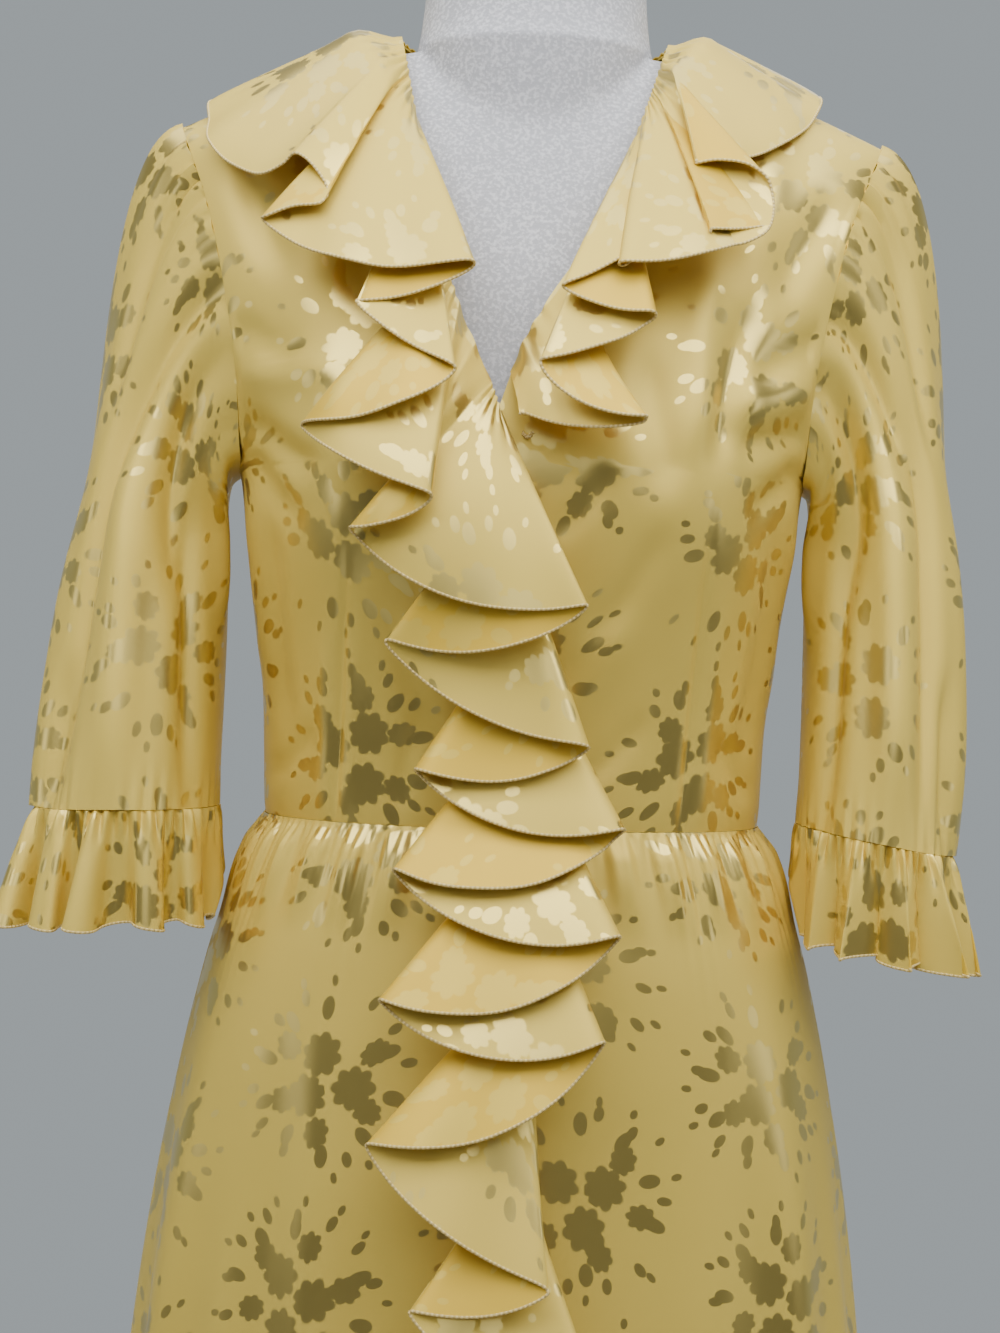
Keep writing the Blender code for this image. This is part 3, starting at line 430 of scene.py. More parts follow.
# %% The repeat of the motif
REPEAT = {"across": 0.110, "down": 0.114}
BURST_STRAY = 0.006    # how far in all a burst may lie from its place in the repeat
OUTLINE_WANDER, OUTLINE_WANDER_SIZE = 0.004, 0.026
LEFT_OUT = 9.0         # added to an oval's field, which takes it far outside its outline
# Rings of a burst: how many, distance from its middle, half length, half width, scallops, missing
BURST_RINGS = (
    (3, 0.0140, 0.0092, 0.0090, 0.30, 0.00),
    (6, 0.0275, 0.0068, 0.0056, 0.26, 0.20),
    (10, 0.0368, 0.0060, 0.0036, 0.00, 0.10),
    (14, 0.0430, 0.0043, 0.0026, 0.00, 0.18),
    (17, 0.0500, 0.0029, 0.0018, 0.00, 0.35),
)


def burst_middle(tree, u, v):
    """Distance and bearing from the middle of the nearest burst, and two random numbers for it."""
    column = calc(tree, "FLOOR", calc(tree, "DIVIDE", u, REPEAT["across"]))
    half_drop = calc(tree, "MULTIPLY", calc(tree, "FLOORED_MODULO", column, 2.0), 0.5)
    down = calc(tree, "ADD", calc(tree, "DIVIDE", v, REPEAT["down"]), half_drop)
    row = calc(tree, "FLOOR", down)
    chance = chance_for(tree, column, row, "3D")
    parts = tree.nodes.new("ShaderNodeSeparateXYZ")
    tree.links.new(chance.outputs["Color"], parts.inputs[0])
    sides = calc(tree, "SUBTRACT", calc(tree, "DIVIDE", u, REPEAT["across"]), column)
    x = calc(tree, "MULTIPLY", calc(tree, "SUBTRACT", sides, 0.5), REPEAT["across"])
    y = calc(tree, "MULTIPLY", calc(tree, "SUBTRACT", calc(tree, "SUBTRACT", down, row), 0.5),
             REPEAT["down"])
    x = calc(tree, "MULTIPLY_ADD", calc(tree, "SUBTRACT", parts.outputs[0], 0.5), BURST_STRAY, x)
    y = calc(tree, "MULTIPLY_ADD", calc(tree, "SUBTRACT", parts.outputs[1], 0.5), BURST_STRAY, y)
    distance = calc(tree, "SQRT", calc(tree, "ADD", calc(tree, "MULTIPLY", x, x),
                                       calc(tree, "MULTIPLY", y, y)))
    bearing = calc(tree, "DIVIDE", calc(tree, "ARCTAN2", y, x), 2 * math.pi)
    return distance, bearing, chance.outputs["Value"], parts.outputs[2]


def ring_of_ovals(tree, distance, bearing, spin, ring):
    """Below 1 inside the ovals of one ring of a burst, above 1 outside."""
    count, far, half_length, half_width, scallop, missing = ring
    turn = calc(tree, "MULTIPLY", calc(tree, "ADD", bearing, spin), float(count))
    which = calc(tree, "ROUND", turn)
    chance = chance_for(tree, calc(tree, "FLOORED_MODULO", which, float(count)), spin, "2D")
    angle = calc(tree, "MULTIPLY", calc(tree, "SUBTRACT", turn, which), 2 * math.pi / count)
    middle = calc(tree, "MULTIPLY_ADD", chance.outputs["Value"], 0.22 * half_length + 0.0035,
                  far - 0.002)
    ahead = calc(tree, "SUBTRACT", calc(tree, "MULTIPLY", distance, calc(tree, "COSINE", angle)),
                 middle)
    aside = calc(tree, "MULTIPLY", distance, calc(tree, "SINE", angle))
    ahead, aside = calc(tree, "DIVIDE", ahead, half_length), calc(tree, "DIVIDE", aside, half_width)
    field = calc(tree, "ADD", calc(tree, "MULTIPLY", ahead, ahead),
                 calc(tree, "MULTIPLY", aside, aside))
    if scallop:
        around = calc(tree, "MULTIPLY", calc(tree, "ARCTAN2", aside, ahead), 4.0)
        shifted = calc(tree, "ADD", around, chance.outputs["Value"])
        lobes = calc(tree, "ABSOLUTE", calc(tree, "SINE", shifted))
        swell = calc(tree, "MULTIPLY_ADD", lobes, scallop, 1.0)
        field = calc(tree, "DIVIDE", field, calc(tree, "MULTIPLY", swell, swell))
    if missing:
        gone = calc(tree, "LESS_THAN", chance.outputs["Value"], missing)
        field = calc(tree, "MULTIPLY_ADD", gone, LEFT_OUT, field)
    return field


def woven_motif(tree):
    """1 on the motif and 0 on the ground."""
    u, v = cloth_place(tree, OUTLINE_WANDER, OUTLINE_WANDER_SIZE)
    distance, bearing, spin, other_spin = burst_middle(tree, u, v)
    field = None
    for k, ring in enumerate(BURST_RINGS):
        one = ring_of_ovals(tree, distance, bearing, spin if k % 2 else other_spin, ring)
        field = one if field is None else calc(tree, "MINIMUM", field, one)
    return ramp(tree, field, 0.85, 1.15, 1.0, 0.0)


# %% The two sides of the satin
THREAD_GLINT, SHEEN_ROUGHNESS, SPECULAR_LEVEL = 0.30, 0.35, 0.35
CLOUDING = {"scale": 9.0, "detail": 3.0, "darkest": 0.93, "dulls": 0.06}
THREADS = {"scale": 260.0, "distortion": 1.5, "strength": 0.22, "depth": 0.000025}


def satin(name, ground, motif, ground_gloss, motif_gloss, metal, sheen):
    """A woven satin: the motif steers colour, gloss and metal; the threads give a fine relief."""
    material, tree, shader = new_material(name)
    mask = woven_motif(tree)
    uv = cloth_uv(tree)
    noise = soft_noise(tree, CLOUDING["scale"], CLOUDING["detail"], uv).outputs[0]
    shade = tuple(CLOUDING["darkest"] * c for c in ground)
    clouded = blend_colour(tree, noise, shade, ground)
    tree.links.new(blend_colour(tree, mask, clouded, motif), shader.inputs["Base Color"])
    gloss = calc(tree, "MULTIPLY_ADD", mask, motif_gloss - ground_gloss, ground_gloss)
    tree.links.new(calc(tree, "MULTIPLY_ADD", noise, CLOUDING["dulls"], gloss),
                   shader.inputs["Roughness"])
    tree.links.new(calc(tree, "MULTIPLY_ADD", mask, metal - THREAD_GLINT, THREAD_GLINT),
                   shader.inputs["Metallic"])
    shader.inputs["Sheen Weight"].default_value = sheen
    shader.inputs["Sheen Roughness"].default_value = SHEEN_ROUGHNESS
    shader.inputs["Specular IOR Level"].default_value = SPECULAR_LEVEL
    threads = tree.nodes.new("ShaderNodeTexWave")
    threads.inputs["Scale"].default_value = THREADS["scale"]
    threads.inputs["Distortion"].default_value = THREADS["distortion"]
    tree.links.new(uv, threads.inputs["Vector"])
    fine_relief(tree, shader, threads.outputs["Fac"], THREADS["depth"], THREADS["strength"])
    return material


SATIN = satin("yellow satin", (0.76, 0.57, 0.105), (0.71, 0.56, 0.160), 0.47, 0.27, 0.90, 0.03)
# The wrong side's deeper orange ground and motif are a painted glow: they stand in for light
# shining through the thin satin onto the undersides of the folds.
SATIN_BACK_PAINTED_GLOW = satin("yellow satin wrong side, painted glow", (0.76, 0.51, 0.045), (0.73, 0.53, 0.080),
                   0.48, 0.42, 0.35, 0.05)

# %% The overlock thread
STITCHES = {"scale": 130.0, "roughness": 0.6, "depth": 0.0003}
THREAD_DARK, THREAD_LIGHT = (0.60, 0.44, 0.13), (0.80, 0.64, 0.27)
thread_material, thread_tree, thread_shader = new_material("overlock thread")
stitches = thread_tree.nodes.new("ShaderNodeTexWave")
stitches.inputs["Scale"].default_value = STITCHES["scale"]
thread_tree.links.new(cloth_uv(thread_tree), stitches.inputs["Vector"])
thread_tree.links.new(blend_colour(thread_tree, stitches.outputs["Fac"], THREAD_DARK, THREAD_LIGHT),
                      thread_shader.inputs["Base Color"])
thread_shader.inputs["Roughness"].default_value = STITCHES["roughness"]
fine_relief(thread_tree, thread_shader, stitches.outputs["Fac"], STITCHES["depth"])
print("nodes in the satin:", len(SATIN.node_tree.nodes))

# %% [markdown]
# ## Creases placed one by one
# Worn cloth pulls from where it is held: from the bust, the armholes, the darts and the waist
# seam. Each crease is one row with its two ends, its depth and its width, so every one can be
# moved on its own. A negative depth is a trough and a positive one a soft ridge.

# %% Tables of creases and how they are laid in
# Columns: x and z of one end, x and z of the other, depth, width
CREASES_FRONT_RIGHT = (
    (-0.093, 1.050, -0.089, 1.196, -0.0011, 0.0022), (-0.100, 1.052, -0.099, 1.150, 0.0010, 0.006),
    (-0.086, 1.052, -0.082, 1.160, 0.0010, 0.006), (-0.152, 1.262, -0.106, 1.232, -0.0030, 0.008),
    (-0.150, 1.245, -0.116, 1.205, -0.0026, 0.007), (-0.158, 1.310, -0.120, 1.292, -0.0022, 0.009),
    (-0.152, 1.285, -0.095, 1.285, 0.0022, 0.010), (-0.138, 1.215, -0.122, 1.090, -0.0024, 0.008),
    (-0.146, 1.222, -0.134, 1.120, 0.0020, 0.007), (-0.130, 1.070, -0.104, 1.098, -0.0016, 0.006),
    (-0.060, 1.056, -0.052, 1.105, -0.0012, 0.006), (-0.030, 1.070, -0.074, 1.172, -0.0016, 0.009),
    (-0.020, 1.130, -0.060, 1.212, 0.0016, 0.010), (-0.160, 1.400, -0.128, 1.340, -0.0026, 0.011),
    (-0.118, 1.420, -0.108, 1.350, 0.0020, 0.012), (-0.090, 1.400, -0.088, 1.330, -0.0018, 0.010),
)
CREASES_FRONT_LEFT = (
    (0.088, 1.050, 0.0985, 1.215, -0.0011, 0.0022), (0.096, 1.052, 0.106, 1.170, 0.0010, 0.006),
    (0.080, 1.052, 0.090, 1.168, 0.0010, 0.006), (0.152, 1.266, 0.112, 1.250, -0.0030, 0.008),
    (0.150, 1.248, 0.120, 1.214, -0.0026, 0.007), (0.160, 1.318, 0.118, 1.284, -0.0026, 0.010),
    (0.156, 1.292, 0.104, 1.268, 0.0022, 0.010), (0.140, 1.210, 0.124, 1.080, -0.0024, 0.008),
    (0.147, 1.225, 0.138, 1.110, 0.0020, 0.007), (0.128, 1.066, 0.108, 1.100, -0.0018, 0.006),
    (0.098, 1.240, 0.116, 1.330, -0.0030, 0.008), (0.086, 1.246, 0.094, 1.350, 0.0022, 0.010),
    (0.074, 1.225, 0.062, 1.300, -0.0022, 0.010), (0.038, 1.150, 0.076, 1.204, -0.0018, 0.008),
    (0.020, 1.100, 0.060, 1.160, 0.0016, 0.010), (0.030, 1.070, 0.070, 1.110, -0.0014, 0.007),
    (0.165, 1.395, 0.132, 1.330, -0.0024, 0.011), (0.128, 1.420, 0.118, 1.345, 0.0018, 0.012),
    (0.020, 1.200, 0.045, 1.235, -0.0014, 0.007),
)
CREASES_BACK = (
    (-0.070, 1.050, -0.074, 1.200, -0.0011, 0.0022), (0.070, 1.050, 0.074, 1.205, -0.0011, 0.0022),
    (-0.150, 1.270, -0.105, 1.240, -0.0030, 0.009), (0.148, 1.262, 0.110, 1.228, -0.0028, 0.008),
    (-0.158, 1.320, -0.120, 1.260, 0.0024, 0.010), (0.160, 1.330, 0.118, 1.274, 0.0022, 0.011),
    (-0.120, 1.390, -0.060, 1.350, -0.0018, 0.012), (0.115, 1.384, 0.050, 1.340, -0.0020, 0.012),
    (-0.030, 1.060, -0.012, 1.180, 0.0014, 0.010), (0.028, 1.058, 0.036, 1.150, -0.0014, 0.009),
    (-0.110, 1.056, -0.118, 1.150, -0.0018, 0.007), (0.112, 1.056, 0.122, 1.140, -0.0020, 0.007),
    (-0.060, 1.250, 0.020, 1.262, -0.0012, 0.012), (0.010, 1.300, 0.080, 1.292, 0.0012, 0.012),
)
CREASE_STRENGTH, CREASE_BEND, CREASE_WAVES = 1.6, 0.12, 7.0
HELD_BY_SEAM = 0.07    # the share of a panel beside each edge where its creases die out
print("creases:", len(CREASES_FRONT_RIGHT + CREASES_FRONT_LEFT + CREASES_BACK))


def creased(table, points):
    """How far the creases of a table push the cloth in or out; each side edge holds it."""
    x, z = points[..., 0], points[..., 2]
    column = np.linspace(0.0, 1.0, len(points))[:, None]
    held = ease(column / HELD_BY_SEAM) * ease((1 - column) / HELD_BY_SEAM)
    total = np.zeros(x.shape)
    for x0, z0, x1, z1, depth, width in table:
        run = np.array((x1 - x0, z1 - z0))
        length = np.hypot(*run)
        share = ((x - x0) * run[0] + (z - z0) * run[1]) / length ** 2
        bend = CREASE_BEND * width * np.sin(share * CREASE_WAVES + 40 * x0)
        aside = ((x - x0) * run[1] - (z - z0) * run[0]) / length + bend
        fade = ease((share + 0.12) / 0.35) * (1 - ease((share - 0.72) / 0.40))
        total += CREASE_STRENGTH * depth * np.exp(-(aside / width) ** 2) * fade
    return total * held


# %% [markdown]
# ## The bodice
# Three panels: two fronts that cross, the wearer's right over the left, and one back. On the
# real dress each is flat satin, and each front has a narrow dart that runs up from the waist
# seam. The back is given two, as such dresses have. The sheets follow the same surface as the
# solids, with many more rows, and a dart is a thin trough between two soft ridges, the first
# rows of a table of creases. Next to the waist seam the cloth dips a little, as pressed cloth does.

# %% Rows and columns of a panel
LEVEL_STOPS = (0.0, 0.17, 0.34, 0.5, 0.67, 0.84, 1.0, 1.05, 1.12, 1.24, 1.4, 1.57, 1.73, 1.86,
               1.94, 1.985, 1.997, 2.0)
ROWS_BETWEEN = 6
FRONT_COLUMNS, BACK_COLUMNS = {"right": 150, "left": 170}, (60, 80, 60)


def finer(stops, between):
    """The stops with evenly placed values between them."""
    places = np.arange((len(stops) - 1) * between + 1) / between
    return np.interp(places, np.arange(len(stops)), stops)


def columns_between(stops, counts):
    """Angles of the columns at every level, shared out between stops."""
    parts = [stops[0][None]]
    for count, start, end in zip(counts, stops, stops[1:]):
        share = (np.arange(count) + 1)[:, None] / count
        parts.append(start + (end - start) * share)
    return np.concatenate(parts)


def seam_dip(levels, depth=0.0007, reach=0.03):
    """A small dip along the waist seam."""
    return -depth * np.exp(-(levels / reach) ** 2)


levels = finer(LEVEL_STOPS, ROWS_BETWEEN)
low = levels <= 1
armhole_right = np.where(low, -SIDE, edge_angle(ARMHOLE_FRONT, levels, -1))
armhole_left = np.where(low, SIDE, edge_angle(ARMHOLE_FRONT, levels, 1))
bodice = {}
for name, stops, count, creases, over in (
        ("bodice_front_right_cloth", (armhole_right, edge_angle(OVER_EDGE, levels)),
         FRONT_COLUMNS["right"], CREASES_FRONT_RIGHT, True),
        ("bodice_front_left_cloth", (edge_angle(UNDER_EDGE, levels), armhole_left),
         FRONT_COLUMNS["left"], CREASES_FRONT_LEFT, False)):
    grid = bodice_point(columns_between(stops, (count,)), levels[None], over=over)
    relief = creased(creases, grid) + seam_dip(levels)[None]
    bodice[name] = cloth(name, grid, CLOTH_THICKNESS, SATIN, SATIN_BACK_PAINTED_GLOW, relief=relief,
                         offset=(0.03, 0.02))
back_neck = ((WAIST_Z, SIDE_NECK[0]), SIDE_NECK[::-1])
back_stops = [np.where(low, -SIDE, edge_angle(ARMHOLE_BACK, levels, -1, True)),
              edge_angle(back_neck, levels, -1, True), edge_angle(back_neck, levels, 1, True),
              np.where(low, SIDE, edge_angle(ARMHOLE_BACK, levels, 1, True))]
grid = bodice_point(columns_between(back_stops, BACK_COLUMNS), levels[None], back=True)[::-1]
bodice["bodice_back_cloth"] = cloth("bodice_back_cloth", grid, CLOTH_THICKNESS, SATIN, SATIN_BACK_PAINTED_GLOW,
                                    relief=creased(CREASES_BACK, grid) + seam_dip(levels)[None])
for name, sheet in bodice.items():
    print(name, "faces:", len(sheet.data.polygons))

# %% [markdown]
# ## The skirt
# The skirt is cut wider than the waist and gathered into the waist seam: many short puckers
# under the seam, which melt into a few long soft folds down to the hem. The folds come from
# the same table as the solids, a row for each, and the puckers are added here.

# %% Folds and gathers
# Folds: bearing from the front middle and width in degrees with the depth between them, and the
# height where the fold starts
SKIRT_FOLDS = (
    (-168, 0.012, 9, 1.00), (-146, 0.009, 7, 0.93), (-127, 0.013, 9, 1.00), (-106, 0.010, 7, 0.96),
    (-84, 0.008, 7, 0.98), (-63, 0.010, 8, 1.00), (-45, 0.006, 6, 0.90), (-27, 0.007, 7, 0.97),
    (33, 0.007, 7, 0.95), (52, 0.009, 8, 1.00), (71, 0.007, 6, 0.92), (88, 0.009, 8, 0.98),
    (108, 0.012, 8, 1.00), (129, 0.009, 7, 0.95), (150, 0.013, 9, 1.00), (171, 0.010, 7, 0.94))
GATHERS, GATHER_DEPTH, GATHER_LENGTH = 34, 0.0022, 0.060
PUCKERS, PUCKER_DEPTH, PUCKER_REACH, PUCKERS_START_OVER = 118, 0.0008, 0.034, 0.004
FOLD_STARTS_OVER, FOLD_AT_TOP, FOLD_GROWS = 0.35, 0.7, 0.6
SIDE_SEAM_DEGREES = 1.5    # how far round from a side seam the folds are held flat
SKIRT_COLUMNS = {"right": 150, "left": 170, "back": 260}


def fold_depth(degrees, z):
    """How far the folds and gathers push the skirt out at a bearing from the front middle."""
    total = 0.0
    for bearing, depth, width, start in SKIRT_FOLDS:
        away = (degrees - bearing + 180) % 360 - 180
        length = np.maximum((start - z) / (start - HEM_Z), 0.0)
        total = total + (depth * np.exp(-(away / width) ** 2) * ease(length / FOLD_STARTS_OVER)
                         * (FOLD_AT_TOP + FOLD_GROWS * length))
    drop = (WAIST_Z - z) / GATHER_LENGTH
    gather = GATHER_DEPTH * ease(drop / 0.25) * (1 - ease((drop - 0.35) / 0.65))
    turn = np.radians(degrees)
    total = total + gather * (1 + np.cos(turn * GATHERS + 0.5 * np.sin(5 * turn)))
    reach = PUCKER_REACH + 0.018 * np.sin(turn * 11 + 1) + 0.009 * np.sin(turn * 23)
    fine = np.exp(-((WAIST_Z - z) / reach) ** 2) * ease((WAIST_Z - z) / PUCKERS_START_OVER)
    return total + PUCKER_DEPTH * fine * np.sin(turn * PUCKERS + 2 * np.sin(turn * 7))


def skirt_base(angle, z, back=False, over=False):
    """Points of the skirt before its folds."""
    power = 2 / SECTION_POWER
    x = along(SKIRT_SECTIONS, z) * np.copysign(np.abs(np.sin(angle)) ** power, np.sin(angle))
    depth = along(SKIRT_SECTIONS, z, 3 if back else 2) * np.abs(np.cos(angle)) ** power
    y = (1 if back else -1) * (depth + SEAM_GAP)
    if over:
        y = y - overlap_lift(x)
    x, y, z = np.broadcast_arrays(x, y, z)
    return np.stack((x, y, z), axis=-1)


def skirt_point(angle, z, back=False, over=False):
    """Points of the skirt, pushed out square to its section."""
    base = skirt_base(angle, z, back, over)
    before, after = np.maximum(angle - STEP, -SIDE), np.minimum(angle + STEP, SIDE)
    tangent = skirt_base(after, z, back, over) - skirt_base(before, z, back, over)
    outward = np.stack((tangent[..., 1], -tangent[..., 0], 0 * tangent[..., 0]), -1)
    outward *= -1 if back else 1
    outward /= np.linalg.norm(outward, axis=-1, keepdims=True)
    bearing = np.degrees(angle)
    if back:
        bearing = 180 - bearing
    side_seam = 1 - np.exp(-((np.abs(np.abs(bearing) - 90)) / SIDE_SEAM_DEGREES) ** 2)
    return base + outward * (fold_depth(bearing, z) * side_seam)[..., None]


# %% The three panels of the skirt
SKIRT_STOPS = (1.0497, 1.046, 1.040, 1.032, 1.024, 1.012, 0.996, 0.975, 0.950, 0.910, 0.870, 0.805,
               0.740, 0.645, 0.550, 0.450, 0.365, 0.353, HEM_Z)
heights = finer(SKIRT_STOPS, 5)
right_edge = section_angle(along(SKIRT_OVER_EDGE, heights), heights, SKIRT_SECTIONS)
left_edge = section_angle(along(SKIRT_UNDER_EDGE, heights), heights, SKIRT_SECTIONS)
sides = {"right": np.full(heights.shape, -SIDE), "left": np.full(heights.shape, SIDE)}
skirt = {}
for name, stops, count, back, over in (
        ("skirt_front_right_cloth", (sides["right"], right_edge), SKIRT_COLUMNS["right"],
         False, True),
        ("skirt_front_left_cloth", (left_edge, sides["left"]), SKIRT_COLUMNS["left"],
         False, False),
        ("skirt_back_cloth", (sides["right"], sides["left"]), SKIRT_COLUMNS["back"],
         True, False)):
    grid = skirt_point(columns_between(stops, (count,)), heights[None], back, over)[:, ::-1]
    if back:
        grid = grid[::-1]
    skirt[name] = cloth(name, grid, CLOTH_THICKNESS, SATIN, SATIN_BACK_PAINTED_GLOW, offset=(0.01, 0.05))
    print(name, "faces:", len(skirt[name].data.polygons))

# %% [markdown]
# ## The sleeves
# Each sleeve is one piece of cloth, sewn into a tube and set into the armhole with a little
# fullness gathered over the shoulder. A ring of points lies along the armhole, another ring
# lower down has the sleeve's own section, and curves that leave the armhole square to the
# bodice join them, which gives the rounded cap.

# %% The line of the armhole
SLEEVE_SECTIONS = {
    "right": ((1.200, 0.2040, -0.002, 0.0405, 0.056), (1.150, 0.2060, -0.010, 0.0440, 0.057),
              (1.100, 0.2080, -0.020, 0.0465, 0.057), (1.052, 0.2095, -0.031, 0.0480, 0.055)),
    "left": ((1.200, 0.2000, -0.002, 0.0390, 0.056), (1.150, 0.2010, -0.010, 0.0405, 0.057),
             (1.100, 0.2005, -0.020, 0.0410, 0.057), (1.046, 0.1980, -0.031, 0.0405, 0.055))}
SLEEVE_POWER, SLEEVE_AROUND, CAP_RINGS, SLEEVE_ROWS = 0.9, 144, 36, 44
SECTION_STEP = 0.03
SLEEVE_FOLD_SCALE = 2.0
CAP_GATHERS, SEAM_GATHERS = {"count": 34, "depth": 0.0028}, {"count": 38, "depth": 0.0010}
# The cap: how soon round the armhole it begins, how strongly it leaves the armhole and meets the
# sleeve (a share of the rise, and a least length in metres), and how far it swings out and up
CAP = {"begins": 2.2, "leaves": (0.35, 0.035), "meets": (0.9, 0.02), "out": 0.02, "up": 0.012}
ARMHOLE_OUT, ARMHOLE_OFF = 0.0001, 0.0004
CUFF_TILT = {"right": 0.03, "left": 0.17}


def armhole_line(sign, steps):
    """Points of the armhole, directions away from the bodice, and directions out of it."""
    share = 2 * np.arange(steps) / steps
    rise = 1 - np.abs(1 - share)
    level = np.minimum(1 + rise ** 1.5, 1.9999)
    points, normals = np.zeros((steps, 3)), np.zeros((steps, 3))
    for back, table in ((False, ARMHOLE_FRONT), (True, ARMHOLE_BACK)):
        part = (share > 1) == back
        angle = np.where(rise[part] == 0, sign * SIDE, edge_angle(table, level[part], sign, back))
        a0, a1 = np.maximum(angle - STEP, -SIDE), np.minimum(angle + STEP, SIDE)
        l0, l1 = level[part] - STEP, np.minimum(level[part] + STEP, 2.0)
        points[part] = bodice_point(angle, level[part], back)
        across = bodice_point(a1, level[part], back) - bodice_point(a0, level[part], back)
        upward = bodice_point(angle, l1, back) - bodice_point(angle, l0, back)
        normals[part] = np.cross(across, upward) * (-1 if back else 1)
    normals /= np.linalg.norm(normals, axis=1, keepdims=True)
    away = sign * np.cross(np.roll(points, -1, 0) - np.roll(points, 1, 0), normals)
    return points, away / np.linalg.norm(away, axis=1, keepdims=True), normals


def sleeve_section(side, z, turn):
    """Points of the sleeve's section; the turn runs from the inside to the front, out and back."""
    sign = -1 if side == "right" else 1
    table = SLEEVE_SECTIONS[side]
    c, s = -np.cos(turn), -np.sin(turn)
    x = along(table, z, 1) + along(table, z, 3) * np.copysign(np.abs(c) ** SLEEVE_POWER, c)
    y = along(table, z, 2) + along(table, z, 4) * np.copysign(np.abs(s) ** SLEEVE_POWER, s)
    return np.stack((sign * x, y, np.broadcast_to(z, np.shape(x))), axis=-1)


# %% A sleeve from armhole to cuff seam
# Folds of a sleeve: turn round it, height of the middle, half height, depth, width in turns and
# slant. The depths are multiplied by SLEEVE_FOLD_SCALE.
SLEEVE_FOLDS = {
    "right": ((0.20, 1.230, 0.060, -0.0040, 0.030, 0.5), (0.27, 1.150, 0.090, 0.0034, 0.034, 0.1),
              (0.36, 1.180, 0.120, -0.0044, 0.030, -0.1), (0.46, 1.120, 0.090, 0.0030, 0.034, 0.0),
              (0.13, 1.140, 0.080, -0.0036, 0.026, 0.2), (0.06, 1.205, 0.050, 0.0030, 0.028, 0.4),
              (0.62, 1.160, 0.110, -0.0040, 0.032, 0.1), (0.74, 1.200, 0.080, 0.0034, 0.034, -0.2),
              (0.85, 1.130, 0.090, -0.0038, 0.030, 0.1), (0.40, 1.085, 0.040, -0.0024, 0.020, 0.0),
              (0.31, 1.300, 0.060, -0.0034, 0.026, -0.3),
              (0.42, 1.330, 0.060, -0.0030, 0.022, 0.2)),
    "left": ((0.18, 1.235, 0.060, -0.0042, 0.030, 0.5), (0.25, 1.160, 0.090, 0.0036, 0.032, 0.0),
             (0.33, 1.170, 0.110, -0.0042, 0.028, 0.1), (0.44, 1.130, 0.100, 0.0030, 0.036, -0.1),
             (0.12, 1.130, 0.080, -0.0034, 0.026, 0.2), (0.05, 1.210, 0.050, 0.0030, 0.028, 0.3),
             (0.60, 1.150, 0.120, -0.0040, 0.030, 0.0), (0.72, 1.210, 0.080, 0.0034, 0.034, 0.2),
             (0.86, 1.140, 0.090, -0.0038, 0.030, -0.1), (0.38, 1.090, 0.040, -0.0024, 0.020, 0.0),
             (0.29, 1.305, 0.060, -0.0034, 0.024, -0.2), (0.41, 1.325, 0.060, -0.0030, 0.022, 0.3))}


def sleeve_relief(side, points, turn):
    """Long soft folds of a sleeve, small gathers under the cap and over the cuff seam."""
    share = (turn / (2 * math.pi))[:, None]
    z = points[..., 2]
    total = np.zeros(z.shape)
    for place, middle, reach, depth, width, slant in SLEEVE_FOLDS[side]:
        away = (share - place - slant * (z - middle) + 0.5) % 1 - 0.5
        total += (SLEEVE_FOLD_SCALE * depth * np.exp(-(away / width) ** 2)
                  * np.exp(-((z - middle) / reach) ** 4))
    row = np.linspace(0, 1, z.shape[1])[None]
    cap = np.exp(-((share - 0.5) / 0.13) ** 2) * np.exp(-((1 - row) / 0.10) ** 2)
    total += CAP_GATHERS["depth"] * cap * np.sin(share * 2 * math.pi * CAP_GATHERS["count"]
                                                 + 2 * np.sin(share * 30))
    cuff = np.exp(-(row / 0.06) ** 2) * (0.6 + 0.4 * np.sin(share * 40))
    total += SEAM_GATHERS["depth"] * cuff * np.sin(share * 2 * math.pi * SEAM_GATHERS["count"])
    return total


